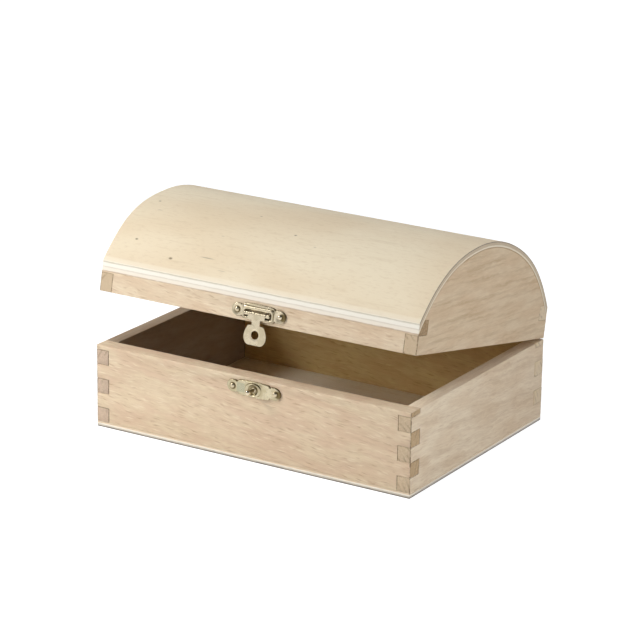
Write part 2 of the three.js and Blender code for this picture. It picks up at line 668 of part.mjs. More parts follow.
// A leaf with knuckles over the given stretches of x.
function leafGeometry(stretches) {
  const back = SEAT_GAP - HINGE_SETBACK;
  const sheet = alongY(leafSheetShape(), back, back + LEAF_SHEET);
  const knuckles = stretches.map(([from, to]) => alongX(knuckleSection(), from, to, ROUND_SEGMENTS / 2));
  const holes = [-1, 1].map((side) =>
    outOfBack(nailHole(), side * LEAF_NAIL_X, -HINGE_SETBACK, LEAF_NAIL_DROP),
  );
  return cut(join([sheet, ...knuckles]), holes);
}

function hingePinGeometry() {
  const radius = HINGE_SETBACK - SEAT_GAP - LEAF_SHEET - HINGE_PIN_GAP;
  const half = HINGE_WIDTH / 2;
  const endRadius = radius * HINGE_PIN_END_SHARE;
  const endHalf = half + HINGE_PIN_PROUD * HINGE_PIN_END_SHARE;
  return turned(
    [
      [0, -half - HINGE_PIN_PROUD],
      [endRadius, -endHalf],
      [radius, -half],
      [radius, half],
      [endRadius, endHalf],
      [0, half + HINGE_PIN_PROUD],
    ],
    ROUND_SEGMENTS,
  ).rotateY(Math.PI / 2);
}

// One hinge: what it leaves on the base and what turns with the lid, both round the pin's axis.
function makeHinge(side) {
  const name = side < 0 ? "left_hinge" : "right_hinge";
  const x = (side * HINGE_SPACING) / 2;
  const half = HINGE_WIDTH / 2;
  const middle = HINGE_WIDTH / 6;
  const outer = [
    [-half, -middle - RUNNING_GAP],
    [middle + RUNNING_GAP, half],
  ];
  const baseLeaf = named(`${name}_base_leaf`, leafGeometry(outer), MATERIALS.paleBrass);
  baseLeaf.rotation.y = Math.PI;
  const lidLeaf = named(`${name}_lid_leaf`, leafGeometry([[-middle, middle]]), MATERIALS.paleBrass);
  const pin = named(`${name}_pin`, hingePinGeometry(), MATERIALS.paleBrass);
  const nails = [-1, 1].map((direction) =>
    [-1, 1].map((nailSide) => {
      const part = direction < 0 ? "base" : "lid";
      const end = nailSide < 0 ? "left" : "right";
      const nail = named(`${name}_${part}_nail_${end}`, nailGeometry(), MATERIALS.paleBrass);
      nail.rotation.x = -Math.PI / 2;
      const headSeat = 2 * SEAT_GAP + LEAF_SHEET - HINGE_SETBACK;
      nail.position.set(nailSide * LEAF_NAIL_X, headSeat, direction * LEAF_NAIL_DROP);
      return nail;
    }),
  );
  const fixed = new THREE.Group();
  fixed.add(baseLeaf, pin, ...nails[0]);
  fixed.position.set(x, HINGE_Y, HINGE_Z);
  const turning = new THREE.Group();
  turning.add(lidLeaf, ...nails[1]);
  turning.position.set(x, 0, 0);
  return { fixed, turning };
}

// Assembly
const box = new THREE.Group();
const hinges = [makeHinge(-1), makeHinge(1)];

const base = new THREE.Group();
base.add(makeBottomPanel(), ...makeBaseBoards());
base.add(frontGroup(CATCH_Z, [makeCatchPlate(), makeCatchStud(), ...makeClaspNails("catch")]));
base.add(...hinges.map((hinge) => hinge.fixed));
box.add(base);

const lidBody = new THREE.Group();
lidBody.add(makePlyCover(), ...makeLidRails(), ...makeLidEnds());
lidBody.add(frontGroup(HASP_HEIGHT, [makeHaspPlate(), makeHaspPin(), makeTongue(), ...makeClaspNails("hasp")]));
lidBody.position.set(0, -HINGE_Y, SEAM_Z - HINGE_Z);

const lid = new THREE.Group();
lid.add(lidBody, ...hinges.map((hinge) => hinge.turning));
lid.position.set(0, HINGE_Y, HINGE_Z);
lid.rotation.x = -THREE.MathUtils.degToRad(LID_OPEN_DEGREES);
box.add(lid);

export default box;
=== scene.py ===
"""A small beech box with a domed plywood lid: the finish of its wood and of its pressed metal clasp."""

import json
import math
from functools import partialmethod

import bmesh
import bpy
import numpy as np
from mathutils import Matrix, Vector


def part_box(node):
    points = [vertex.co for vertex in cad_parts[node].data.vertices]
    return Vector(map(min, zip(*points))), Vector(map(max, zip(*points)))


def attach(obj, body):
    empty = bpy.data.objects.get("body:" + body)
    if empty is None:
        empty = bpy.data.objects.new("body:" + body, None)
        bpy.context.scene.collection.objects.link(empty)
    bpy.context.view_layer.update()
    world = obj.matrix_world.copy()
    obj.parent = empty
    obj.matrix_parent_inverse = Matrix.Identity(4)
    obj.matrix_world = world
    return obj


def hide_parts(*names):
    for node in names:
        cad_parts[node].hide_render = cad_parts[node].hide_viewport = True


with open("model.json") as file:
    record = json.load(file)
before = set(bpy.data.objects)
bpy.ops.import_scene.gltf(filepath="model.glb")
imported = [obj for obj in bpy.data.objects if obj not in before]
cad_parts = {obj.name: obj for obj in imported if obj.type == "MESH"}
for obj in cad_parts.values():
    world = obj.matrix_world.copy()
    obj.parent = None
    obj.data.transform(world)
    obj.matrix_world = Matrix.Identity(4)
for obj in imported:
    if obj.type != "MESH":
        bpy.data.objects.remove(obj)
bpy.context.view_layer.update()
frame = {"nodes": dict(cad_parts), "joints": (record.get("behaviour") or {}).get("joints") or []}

MM = 0.001
TO_MM = 1000.0

# The photograph's camera
CAMERA_PLACE = (0.73209, -1.19494, 0.50958)
CAMERA_YAW = -0.5501326
CAMERA_PITCH = -0.3143752
CAMERA_ROLL = 0.0147617
PICTURE_SIZE = 640
FOCAL_PIXELS = 2968.3
SENSOR_WIDTH = 36
CENTRE_SHIFT = 0.5 / PICTURE_SIZE

# Eased edges, each a width and a number of segments
BOARD_EASE = (0.25 * MM, 3)
PLY_EASE = (0.3 * MM, 3)
METAL_EASE = (0.1 * MM, 2)
EASE_ANGLE = math.radians(32)
CRISP_ANGLE = math.radians(38)
MERGE_DISTANCE = 0.002 * MM
FLAT_ANGLE = math.radians(0.4)
ON_FACE = 0.01 * MM

# The finger joints, as in the solids
FINGER_PITCH = 7.55 * MM
FINGER_BELOW_PLY = 0.5 * MM
JOINT_LINE = 0.34 * MM
JOINT_LINE_FULL = 0.4 * JOINT_LINE
CORNER_LINE = 0.6 * MM
FRONT_DIRT = 0.32
SIDE_DIRT = 0.75
CORNER_DIRT = 0.7
# The share of a finger's height, from the lid's edge up, that has joint lines
LID_LINES = 1.4

# The lid's curved pieces
ARCH_STEPS = 160
DOME_STATIONS = 25
GLUE_LINE = 0.06 * MM
# How far the bent sheet stands fuller than a circle at its shoulders, at the left and at the right end
SHOULDER_SWELL = (1.45 * MM, 0.6 * MM)
SWELL_START = math.radians(12)

# The pressed plates, as in the solids
SHEET = 0.6 * MM
SEAT_GAP = 0.05 * MM
ON_SHEET = 2 * SEAT_GAP + SHEET
EAR_RADIUS = 3.1 * MM
BODY_HALF = 9 * MM
BODY_CORNER = 0.9 * MM
BODY_SHOULDER = 3.6 * MM
BODY_BULGE = 0.5 * MM
NICK_PLACE = 9.4 * MM
NICK_DEPTH = 0.45 * MM
NICK_WIDTH = 0.35 * MM
PLATE_TOP = 0.95 * MM
ROLLED_EDGE = 0.3 * MM
ROLLED_EDGE_WIDTH = 0.46 * MM
DIMPLE_DEPTH = 0.3 * MM
DIMPLE_RADIUS = 2.05 * MM
DIMPLE_FLATNESS = 4
OUTLINE_SAMPLES = 400
EAR_SAMPLES = 60
PLATE_RAYS = 240

# The hasp's frame, knuckles and pin
WINDOW_HALF = (7.3 * MM, 1.45 * MM)
WINDOW_CORNER = 0.3 * MM
FRAME_HALF = (8.9 * MM, 3.1 * MM)
FRAME_DROP = 0.2 * MM
FRAME_RISE = 0.75 * MM
FRAME_CORNER = 1.3 * MM
BAR_FULLNESS = 0.6
TINY = 1e-9
HASP_RINGS = 44
# How much more a plate's rays fan out up and down than its outline's own angles
HASP_FAN = 3
CATCH_FAN = 2.4
AXIS_BELOW = 0.75 * MM
AXIS_OUT = 1.3 * MM
KNUCKLE_RADIUS = 1.1 * MM
KNUCKLE_BORE = 0.6 * MM
KNUCKLE_STRETCH = (4.9 * MM, 7.1 * MM)
KNUCKLE_SOFT = 0.3
PIN_RADIUS = 0.5 * MM
PIN_CHAMFER = 0.1 * MM

# The hasp's tongue
BARREL_HALF = 4.8 * MM
STRAP_LENGTH = 2.2 * MM
NECK_HALF = 2.25 * MM
NECK_EASE = 0.5 * MM
SHOULDER_DROP = 5.35 * MM
SHOULDER_HALF = 4.3 * MM
SHOULDER_EASE = 0.4 * MM
TONGUE_HALF = 6.25 * MM
TONGUE_WIDEST = 10.6 * MM
TONGUE_SHIFT = 0.3 * MM
TIP_HALF = 2.9 * MM
TIP_FULLNESS = 2.2
TONGUE_LENGTH = 14.8 * MM
HOLE_RADIUS = 2.1 * MM
HOLE_DROP = 9.8 * MM
HOLE_DISH = 0.1 * MM
HOLE_DISH_WIDTH = 0.9 * MM
CROWN_DROP = 0.12 * MM
CROWN_EASE = 2 * MM
ROLL_ANGLE = math.radians(275)
# The rows along its sheet: where each stretch starts and ends, and its number of rows
STRAP_ROWS = (0, SHOULDER_DROP - 0.4 * MM, 26)
SHOULDER_ROWS = (SHOULDER_DROP - 0.3 * MM, SHOULDER_DROP + 0.5 * MM, 14)
UPPER_ROWS = (SHOULDER_DROP + 0.7 * MM, HOLE_DROP - HOLE_RADIUS - 0.15 * MM, 10)
HOLE_ROWS = 25
TIP_ROWS = (0.06, 1, 18)
TIP_CROWDING = 1.6
ROLL_ROWS = 34
TONGUE_COLUMNS = 15

# The catch's boss, cup and stud
BOSS_HALF = (4.9 * MM, 3.75 * MM)
BOSS_RISE = 0.6 * MM
BOSS_EASE = 0.16
CUP_WALL = (1.9 * MM, 2.9 * MM)
RIM_RADIUS = 3.1 * MM
RIM_RISE = 0.16 * MM
RIM_WIDTH = 0.5 * MM
CATCH_RINGS = 60
STUD_HOLE = 0.97 * MM
STUD_NECK = 0.8 * MM
STUD_HEAD = 1.45 * MM
STUD_COLLAR = 1.25 * MM
STUD_COLLAR_TOP = 0.95 * MM
STUD_SOFT = 0.08 * MM
BALL_STEPS = 16
ROUND_STEPS = 40

# Nails
NAIL_HEAD = 1.3 * MM
NAIL_UNDERSIDE = 0.96 * NAIL_HEAD
NAIL_RISE = 0.95 * MM
NAIL_SHANK = 0.55 * MM
NAIL_LENGTH = 6.5 * MM
NAIL_POINT = 2 * NAIL_SHANK - NAIL_LENGTH
NAIL_HEAD_STEPS = 8
NAIL_STEPS = 28


# Meshes
def smoothstep(values):
    """3t^2 - 2t^3, with t held between 0 and 1."""
    t = np.clip(values, 0, 1)
    return t * t * (3 - 2 * t)


def grid_faces(rows, columns, wrap_rows, wrap_columns):
    """Quads between neighbouring points of a grid, closed on itself along either direction where asked."""
    i = np.arange(rows if wrap_rows else rows - 1)
    j = np.arange(columns if wrap_columns else columns - 1)
    i, j = (a.ravel() for a in np.meshgrid(i, j, indexing="ij"))
    below, beside = (i + 1) % rows, (j + 1) % columns
    corners = (i * columns + j, below * columns + j, below * columns + beside, i * columns + beside)
    return np.stack(corners, axis=1)


def merged(mesh, from_cad):
    """Merges a mesh's doubles. One from the CAD already points outwards and gets whole flat faces; any other
    has its faces turned outwards."""
    shape = bmesh.new()
    shape.from_mesh(mesh)
    bmesh.ops.remove_doubles(shape, verts=shape.verts, dist=MERGE_DISTANCE)
    if from_cad:
        bmesh.ops.dissolve_limit(shape, angle_limit=FLAT_ANGLE, verts=shape.verts, edges=shape.edges)
    else:
        bmesh.ops.dissolve_degenerate(shape, edges=shape.edges, dist=MERGE_DISTANCE)
        bmesh.ops.recalc_face_normals(shape, faces=shape.faces)
    shape.to_mesh(mesh)
    shape.free()
    return mesh


def mesh_from(name, points, faces):
    mesh = bpy.data.meshes.new(name)
    mesh.from_pydata(np.asarray(points).reshape(-1, 3).tolist(), [], [list(face) for face in faces])
    return merged(mesh, from_cad=False)


def joined(name, parts):
    """One mesh of several (points, faces) parts."""
    points, faces, start = [], [], 0
    for part_points, part_faces in parts:
        flat = np.asarray(part_points).reshape(-1, 3)
        points.append(flat)
        faces += (part_faces + start).tolist()
        start += len(flat)
    return mesh_from(name, np.concatenate(points), faces)


def ease_edges(piece, ease):
    """Rounds every sharp edge a little."""
    bevel = piece.modifiers.new("eased_edges", "BEVEL")
    bevel.width, bevel.segments = ease
    bevel.limit_method = "ANGLE"
    bevel.angle_limit = EASE_ANGLE
    bevel.use_clamp_overlap = True
    bevel.harden_normals = True


def add_object(name, data):
    made = bpy.data.objects.new(name, data)
    bpy.context.scene.collection.objects.link(made)
    return made


def make_piece(name, mesh, material, body, *nodes, slot="pale_brass"):
    """Places a finished mesh as a piece that stands for its CAD nodes."""
    mesh.name = name
    mesh.polygons.foreach_set("use_smooth", np.ones(len(mesh.polygons), bool))
    piece = add_object(name, mesh)
    piece.data.materials.append(material)
    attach(piece, body)
    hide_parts(*nodes)
    return piece


def make_eased_copy(name, node, material, body, slot, ease):
    """A piece with its CAD node's own shape, as one skin with eased edges."""
    mesh = frame["nodes"][node].data.copy()
    mesh.materials.clear()
    ease_edges(make_piece(name, merged(mesh, from_cad=True), material, body, node, slot=slot), ease)


# The lid's turn
LID_JOINT = next(joint for joint in frame["joints"] if joint["name"] == "lid_hinge")
HINGE_POINT = np.array(LID_JOINT["pos_m"])
LID_OPEN = math.radians(-LID_JOINT["range_deg"][0])


def lid_turned(points, angle):
    """Points turned about the hinge pins by an angle, which opens the lid where it is above zero."""
    cosine, sine = math.cos(angle), math.sin(angle)
    turn = np.array([[1, 0, 0], [0, cosine, sine], [0, -sine, cosine]])
    return (np.asarray(points) - HINGE_POINT) @ turn.T + HINGE_POINT


def shut_points(node):
    """A lid node's points with the lid shut."""
    mesh = frame["nodes"][node].data
    points = np.empty(len(mesh.vertices) * 3, np.float32)
    mesh.vertices.foreach_get("co", points)
    return lid_turned(points.reshape(-1, 3).astype(float), -LID_OPEN)


def shut_box(node):
    """Lowest and highest corner of a lid node with the lid shut."""
    points = shut_points(node)
    return points.min(axis=0), points.max(axis=0)


def front_face_top(node):
    """How high a lid node's face at the box's front reaches with the lid shut."""
    points = shut_points(node)
    return points[np.abs(points[:, 1] + HALF_DEPTH) < ON_FACE, 2].max()


# The arch of the dome, from the plywood's own corners
ply_low, ply_high = shut_box("lid_plywood_cover")
end_low, end_high = shut_box("lid_right_end")
rail_low, rail_high = shut_box("lid_front_rail")
HALF_WIDTH, HALF_DEPTH, CROWN = ply_high
PLY_LOWER_EDGE = ply_low[2]
PLY_UPPER_EDGE = front_face_top("lid_plywood_cover")
ARCH_RISE = CROWN - PLY_UPPER_EDGE
ARCH_RADIUS = (HALF_DEPTH**2 + ARCH_RISE**2) / (2 * ARCH_RISE)
ARCH_CENTRE = CROWN - ARCH_RADIUS
INNER_RADIUS = math.hypot(HALF_DEPTH, PLY_LOWER_EDGE - ARCH_CENTRE)
PLY_THICKNESS = ARCH_RADIUS - INNER_RADIUS
EDGE_ANGLE = math.asin(HALF_DEPTH / ARCH_RADIUS)


def arch_swell(from_crown, x):
    """Sine squared between the flat crown and the edge of the arch, easing from the left end to the right."""
    share = np.clip((np.abs(from_crown) - SWELL_START) / (EDGE_ANGLE - SWELL_START), 0, 1)
    left, right = SHOULDER_SWELL
    swell = left + (right - left) * (x + HALF_WIDTH) / (2 * HALF_WIDTH)
    return swell * np.sin(math.pi * share) ** 2


# Shader nodes
def feed(sockets, values):
    """Links each named or numbered socket to a wire, or sets it to a plain value."""
    for name, value in values.items():
        if isinstance(value, Wire):
            sockets[name].id_data.links.new(value.socket, sockets[name])
        else:
            sockets[name].default_value = value


def add_node(tree, kind, inputs=None, **settings):
    made = tree.nodes.new("ShaderNode" + kind)
    for name, value in settings.items():
        setattr(made, name, value)
    feed(made.inputs, inputs or {})
    return made


def wires(node):
    """A node's outputs by name."""
    return {socket.name: Wire(socket) for socket in node.outputs}


class Wire:
    """A value in a shader tree. Operators and the calls below add the nodes that it feeds."""

    def __init__(self, socket):
        self.socket = socket

    def into(self, kind, inputs, output=0, **settings):
        """One output of a new node in the same tree."""
        return Wire(add_node(self.socket.id_data, kind, inputs, **settings).outputs[output])

    def math(self, operation, *others, **settings):
        return self.into("Math", dict(enumerate((self, *others))), operation=operation, **settings)

    __add__ = partialmethod(math, "ADD")
    __sub__ = partialmethod(math, "SUBTRACT")
    __mul__ = partialmethod(math, "MULTIPLY")
    __truediv__ = partialmethod(math, "DIVIDE")
    __mod__ = partialmethod(math, "MODULO")
    __gt__ = partialmethod(math, "GREATER_THAN")
    __lt__ = partialmethod(math, "LESS_THAN")
    __abs__ = partialmethod(math, "ABSOLUTE")
    larger = partialmethod(math, "MAXIMUM")

    def inverse(self):
        """1 less this."""
        return self.into("Math", {0: 1.0, 1: self}, operation="SUBTRACT")

    def vector(self, operation, other=(0, 0, 0), scale=1.0, output="Vector"):
        return self.into("VectorMath", {0: self, 1: other, 3: scale}, output, operation=operation)

    plus = partialmethod(vector, "ADD")
    minus = partialmethod(vector, "SUBTRACT")
    times = partialmethod(vector, "MULTIPLY")
    positive = partialmethod(vector, "ABSOLUTE")
    dot = partialmethod(vector, "DOT_PRODUCT", output="Value")
    length = partialmethod(vector, "LENGTH", output="Value")

    def scaled(self, amount):
        return self.vector("SCALE", scale=amount)

    def axis(self, name):
        return self.into("SeparateXYZ", {0: self}, name)

    def mix(self, first, second, blend="MIX"):
        """The first colour where this is 0 and the second where it is 1."""
        return self.into("Mix", {0: self, 6: first, 7: second}, 2, data_type="RGBA", blend_type=blend)

    def ramp(self, low, high):
        """0 below low and 1 above high, smoothly between."""
        return self.into("MapRange", {0: self, 1: low, 2: high}, interpolation_type="SMOOTHSTEP")

    def mapped(self, kind="POINT", **inputs):
        return self.into("Mapping", {"Vector": self, **inputs}, vector_type=kind)

    def stretched(self, stretch, shift=(0, 0, 0)):
        """Stretched by so much along the grain and across it, then shifted."""
        return self.mapped(Scale=(*stretch, stretch[-1])[:3], Location=shift)

    def noise(self, stretch=None, shift=(0, 0, 0), span=None, scale=1.0, detail=3.0, **finer):
        """Noise at this place. With a span it is 0 below it and 1 above it."""
        place = self.stretched(stretch, shift) if stretch else self
        inputs = {"Vector": place, "Scale": scale, "Detail": detail, "Roughness": 0.5, "Distortion": 0.0}
        made = self.into("TexNoise", {**inputs, **finer})
        return made.ramp(*span) if span else made

    def bump(self, distance):
        return self.into("Bump", {"Height": self, "Distance": distance, "Strength": 1.0})


def colour(red, green, blue):
    """A colour written as it looks on screen, 0 to 255, as the shader's linear one, by the sRGB curve."""
    shares = np.array((red, green, blue)) / 255
    linear = np.where(shares <= 0.04045, shares / 12.92, ((shares + 0.055) / 1.055) ** 2.4)
    return (*linear.tolist(), 1.0)


def new_group(name, inputs, outputs):
    """An empty node group whose inputs are numbers, colours or, for None, vectors, and whose outputs are
    numbers but for Color: its tree, its inputs' wires and its outputs' sockets."""
    tree = bpy.data.node_groups.new(name, "ShaderNodeTree")
    for title, value in inputs.items():
        kind = "Vector" if value is None else "Color" if isinstance(value, tuple) else "Float"
        socket = tree.interface.new_socket(title, in_out="INPUT", socket_type="NodeSocket" + kind)
        if value is not None:
            socket.default_value = value
    for title in outputs:
        kind = "Color" if title == "Color" else "Float"
        tree.interface.new_socket(title, in_out="OUTPUT", socket_type="NodeSocket" + kind)
    source = wires(tree.nodes.new("NodeGroupInput"))
    return tree, source, tree.nodes.new("NodeGroupOutput").inputs


def place_group(tree, group, inputs):
    return wires(add_node(tree, "Group", inputs, node_tree=group))


def new_material(name):
    """A material: itself, its tree, its shader's inputs and its texture coordinates."""
    material = bpy.data.materials.new(name)
    material.use_nodes = True
    tree = material.node_tree
    return material, tree, tree.nodes["Principled BSDF"].inputs, wires(add_node(tree, "TexCoord"))


# The noises in planed beech: each one's stretch along and across the grain per millimetre, its shift, the
# values between which it starts to show and shows fully, and how fine and rough it is
WAVE = {"stretch": (0.035, 0.09), "detail": 2}
CRINKLE = {"stretch": (0.22, 0.3), "shift": (5, 1, 9), "detail": 2}
DRIFT = {"stretch": (0.045, 0.14), "span": (0.35, 0.65), "detail": 2}
BANDS = {"stretch": (0.013, 0.24), "shift": (8, 3, 6), "span": (0.45, 0.72)}
STREAKS = {"stretch": (0.085, 0.78), "detail": 4, "Roughness": 0.6, "Distortion": 0.5}
FINE = {"stretch": (0.25, 2.6), "shift": (4, 7, 1)}
PORES = {"stretch": (0.3, 1.2)}
RINGS_SHOW = {"stretch": (0.2, 0.16), "shift": (7, 2, 5), "span": (0.4, 0.62), "detail": 1}
# Its flecks' cells in the same way, the share of cells without one, and a fleck's half width in a cell
DARK_FLECKS = ((0.12, 1.0), (3.1, 0.4, 1.7))
LIGHT_FLECKS = ((0.11, 0.9), (11.3, 7.9, 5.2))
NO_FLECK = 0.25
FLECK_EDGE = 0.46
FLECK_LEAST = 0.4
# The values between which each pattern starts to show and shows fully
RING_SPAN = (-0.2, 1.0)
PORE_SPAN = (0.4, 0.7)
# Painted shade: a board darkens towards its back between these places along the grain, in millimetres
FAR_SHADE_SPAN = (-65, 65)
# How strongly each one works
CRINKLE_AMOUNT = 1.6
SIDEWAYS_WAVE = 0.6
STREAK_MIDDLE = 0.4
FINE_TONE = (0.36, 0.17)
FINE_RELIEF = 0.3
RING_PITCH = 2.6
RING_BEND = 3.2
RING_TONE = 0.42
PORE_TONE = 0.25
PITH = (0, 14, -16)
END_RING = colour(142, 116, 90)


def make_beech_group():
    """Planed beech with its grain along X, in millimetres: short dark and light flecks that follow a slightly
    wavy grain, faint streaks, and duller end grain with the arcs of its growth rings. Where asked, painted
    shade darkens it towards the far end along the grain."""
    inputs = {
        "Vector": None,
        "End Grain": 0.0,
        "Pale": colour(236, 216, 186),
        "Warm": colour(230, 204, 176),
        "Fleck": colour(190, 157, 122),
        "Light": colour(248, 232, 206),
        "End": colour(198, 170, 132),
        "Fleck Strength": 0.74,
        "Grain Dip": 0.09,
        "Bands": 0.1,
        "Band Scale": 1.0,
        "Streaks": 0.75,
        "Tail": 0.0,
        "Wave": 5.0,
    }
    tree, source, result = new_group("beech", inputs, ("Color", "Height"))
    straight = source["Vector"]
    along = straight.axis("X")
    crinkle = (straight.noise(**CRINKLE) - 0.5) * CRINKLE_AMOUNT
    wave = (straight.noise(**WAVE) - 0.5) * source["Wave"] + crinkle
    dip = along * source["Grain Dip"] + wave
    place = straight.plus(along.into("CombineXYZ", {"Y": wave * SIDEWAYS_WAVE, "Z": dip}))
    band = place.scaled(source["Band Scale"]).noise(**BANDS)
    streak = place.noise(**STREAKS)
    fine = place.noise(**FINE)

    def flecks(stretch, shift):
        cells = {"Vector": place.stretched(stretch, shift), "Scale": 1.0, "Randomness": 1.0}
        made = wires(add_node(tree, "TexVoronoi", cells))
        chosen = wires(add_node(tree, "SeparateColor", {0: made["Color"]}))
        lens = made["Distance"].ramp(0.0, FLECK_EDGE).inverse()
        return lens * (chosen["Green"] * (1 - FLECK_LEAST) + FLECK_LEAST) * (chosen["Red"] > NO_FLECK)

    dark = flecks(*DARK_FLECKS)
    base = place.noise(**DRIFT).mix(source["Pale"], source["Warm"])
    # The tone: streaks, and where asked painted shade that darkens a board towards its far end along the
    # grain
    tone = (streak - STREAK_MIDDLE) * source["Streaks"] + along.ramp(*FAR_SHADE_SPAN) * source["Tail"]
    tone = tone + (fine * FINE_TONE[0] - FINE_TONE[1])
    tone = tone.math("ADD", band * source["Bands"], use_clamp=True)
    grained = tone.mix(base, source["Fleck"])
    grained = (dark * source["Fleck Strength"]).mix(grained, source["Fleck"])
    grained = (flecks(*LIGHT_FLECKS) * source["Fleck Strength"]).mix(grained, source["Light"])
    pores = straight.noise(**PORES)
    from_pith = straight.minus(PITH).times((0, 1, 1)).length()
    ring = (pores * RING_BEND + from_pith * (math.tau / RING_PITCH)).math("SINE").ramp(*RING_SPAN)
    ring = ring * straight.noise(**RINGS_SHOW)
    end_tone = (ring * RING_TONE).mix(source["End"], END_RING)
    end_tone = (pores.ramp(*PORE_SPAN) * PORE_TONE).mix(end_tone, base)
    height = (streak - dark) * 0.5 + fine * FINE_RELIEF
    feed(result, {"Color": source["End Grain"].mix(grained, end_tone), "Height": height})
    return tree


LINE_BREAKS = {"span": (0.25, 0.65), "scale": 600, "detail": 2}
JOINT_DIRT = colour(112, 86, 58)


def make_joint_group():
    """The dark hairlines of the finger joints, in metres with the piece shut: along the corner itself, along
    each inner joint line and along each finger's upper and lower edge, only near the four corners. They are
    faint, and darker only on the sides near the front."""
    numbers = ("First Finger", "Finger", "Top", "Inner Width", "Inner Depth")
    inputs = {"Vector": None, "Normal": None, **dict.fromkeys(numbers, 0.0), "Top": 1.0}
    tree, source, result = new_group("joint_lines", inputs, ("Mask",))
    place, finger = source["Vector"], source["Finger"]
    x, y, upright = abs(place.axis("X")), abs(place.axis("Y")), place.axis("Z")
    from_side, from_front = x - source["Inner Width"], y - source["Inner Depth"]

    def line(distance):
        return abs(distance).ramp(JOINT_LINE, JOINT_LINE_FULL)

    def at_edge(distance, half):
        return distance.ramp(half - CORNER_LINE, half - CORNER_LINE / 2)

    steps = (upright - source["First Finger"]) / finger
    of_side = steps % 2.0 < 1.0
    inner = (line(from_side) * of_side).larger(line(from_front) * of_side.inverse())
    level = line((steps - steps.math("ROUND")) * finger)
    sideways = abs(source["Normal"].axis("X")) * (place.axis("Y") < 0.0)
    strength = sideways * (SIDE_DIRT - FRONT_DIRT) + FRONT_DIRT
    lines = level.larger(inner) * strength * (upright < source["Top"])
    mask = lines.larger(at_edge(x, HALF_WIDTH) * at_edge(y, HALF_DEPTH) * CORNER_DIRT)
    at_corner = (from_side > -JOINT_LINE) * (from_front > -JOINT_LINE)
    feed(result, {"Mask": mask * at_corner * place.noise(**LINE_BREAKS)})
    return tree


# The noises in a face veneer, as in beech, where they show and how strongly they work
VENEER_DRIFT = {"stretch": (0.014, 0.03), "shift": (2, 9, 4), "span": (0.3, 0.7), "detail": 2}
VENEER_STREAKS = {"stretch": (0.05, 0.4), "detail": 4, "Roughness": 0.6, "Distortion": 0.4}
VENEER_FINE = {"stretch": (0.3, 1.1)}
VENEER_STREAK_SPAN = (0.5, 0.8)
VENEER_FINE_SPAN = (0.5, 0.75)
VENEER_STREAK_TONE = 0.24
VENEER_FINE_TONE = 0.2


def make_veneer_group():
    """A sanded face veneer with its grain along X, in millimetres: cream, with long faint streaks."""
    inputs = {
        "Vector": None,
        "Pale": colour(244, 230, 202),
        "Warm": colour(236, 217, 186),
        "Streak": colour(202, 176, 138),
    }
    tree, source, result = new_group("veneer", inputs, ("Color", "Height"))
    place = source["Vector"]
    streaks = place.noise(**VENEER_STREAKS)
    fine = place.noise(**VENEER_FINE)
    base = place.noise(**VENEER_DRIFT).mix(source["Pale"], source["Warm"])
    base = (streaks.ramp(*VENEER_STREAK_SPAN) * VENEER_STREAK_TONE).mix(base, source["Streak"])
    base = (fine.ramp(*VENEER_FINE_SPAN) * VENEER_FINE_TONE).mix(base, source["Streak"])
    feed(result, {"Color": base, "Height": streaks + fine * 0.5})
    return tree


# Painted light on a board's inner side: how strongly its tint is taken by faces that look along X, Y and Z,
# and the tint. The left board's is painted shade on its inner and top faces, the back board's painted warm
# bounce light on its inner face.
LEFT_PAINTED_SHADE = ((0.93, 0.0, 0.8), colour(168, 160, 158))
BACK_PAINTED_BOUNCE = ((0.0, -1.0, 0.0), colour(255, 248, 206))
END_GRAIN_SPAN = (0.6, 0.8)
# A wood's relief, roughness and gloss
BEECH_SURFACE = (0.06 * MM, 0.72, 0.25)
DOME_SURFACE = (0.04 * MM, 0.62, 0.3)
PANEL_SURFACE = (0.04 * MM, 0.75, 0.2)


def finish_wood(shader, tint, height, surface):
    relief, roughness, gloss = surface
    feed(shader, {"Base Color": tint, "Normal": height.bump(relief)})
    feed(shader, {"Roughness": roughness, "Specular IOR Level": gloss})


def make_beech(name, group, along, joints, turn=0.0, seed=(0, 0, 0), inside=None, **colours):
    """Unfinished planed beech with its grain along x or y, dark hairlines at its finger joints and, where
    asked,
    painted light on its inner side: painted shade for the left board, painted warm bounce light for the back
    board. turn undoes the lid's opening."""
    material, tree, shader, where = new_material(name)
    quarter = math.pi / 2 if along == "y" else 0.0
    level = where["Object"].mapped(Rotation=(turn, 0, 0))
    place = level.mapped(Rotation=(0, 0, -quarter), Scale=(TO_MM, TO_MM, TO_MM), Location=seed)
    facing = where["Normal"].mapped("NORMAL", Rotation=(turn, 0, 0)).axis(along.upper())
    end = abs(facing).ramp(*END_GRAIN_SPAN)
    looks = place_group(tree, group, {"Vector": place, "End Grain": end, **colours})
    joint_lines, sizes = joints
    shut = where["Object"]
    if turn:
        hinge = tuple(HINGE_POINT.tolist())
        shut = shut.minus(hinge).mapped(Rotation=(turn, 0, 0), Location=hinge)
    darkening = place_group(tree, joint_lines, {"Vector": shut, "Normal": where["Normal"], **sizes})
    tint = darkening["Mask"].mix(looks["Color"], JOINT_DIRT)
    # Painted light: faces picked by their direction take a tint, painted shade on the left board and painted
    # warm bounce light on the back board
    if inside:
        strengths, painted_tint = inside
        facing = where["Normal"].times(strengths)
        painted_share = facing.axis("X").larger(facing.axis("Y"))
        painted_share = painted_share.math("MAXIMUM", facing.axis("Z"), use_clamp=True)
        tint = painted_share.mix(tint, painted_tint, "MULTIPLY")
    finish_wood(shader, tint, looks["Height"], BEECH_SURFACE)
    return material


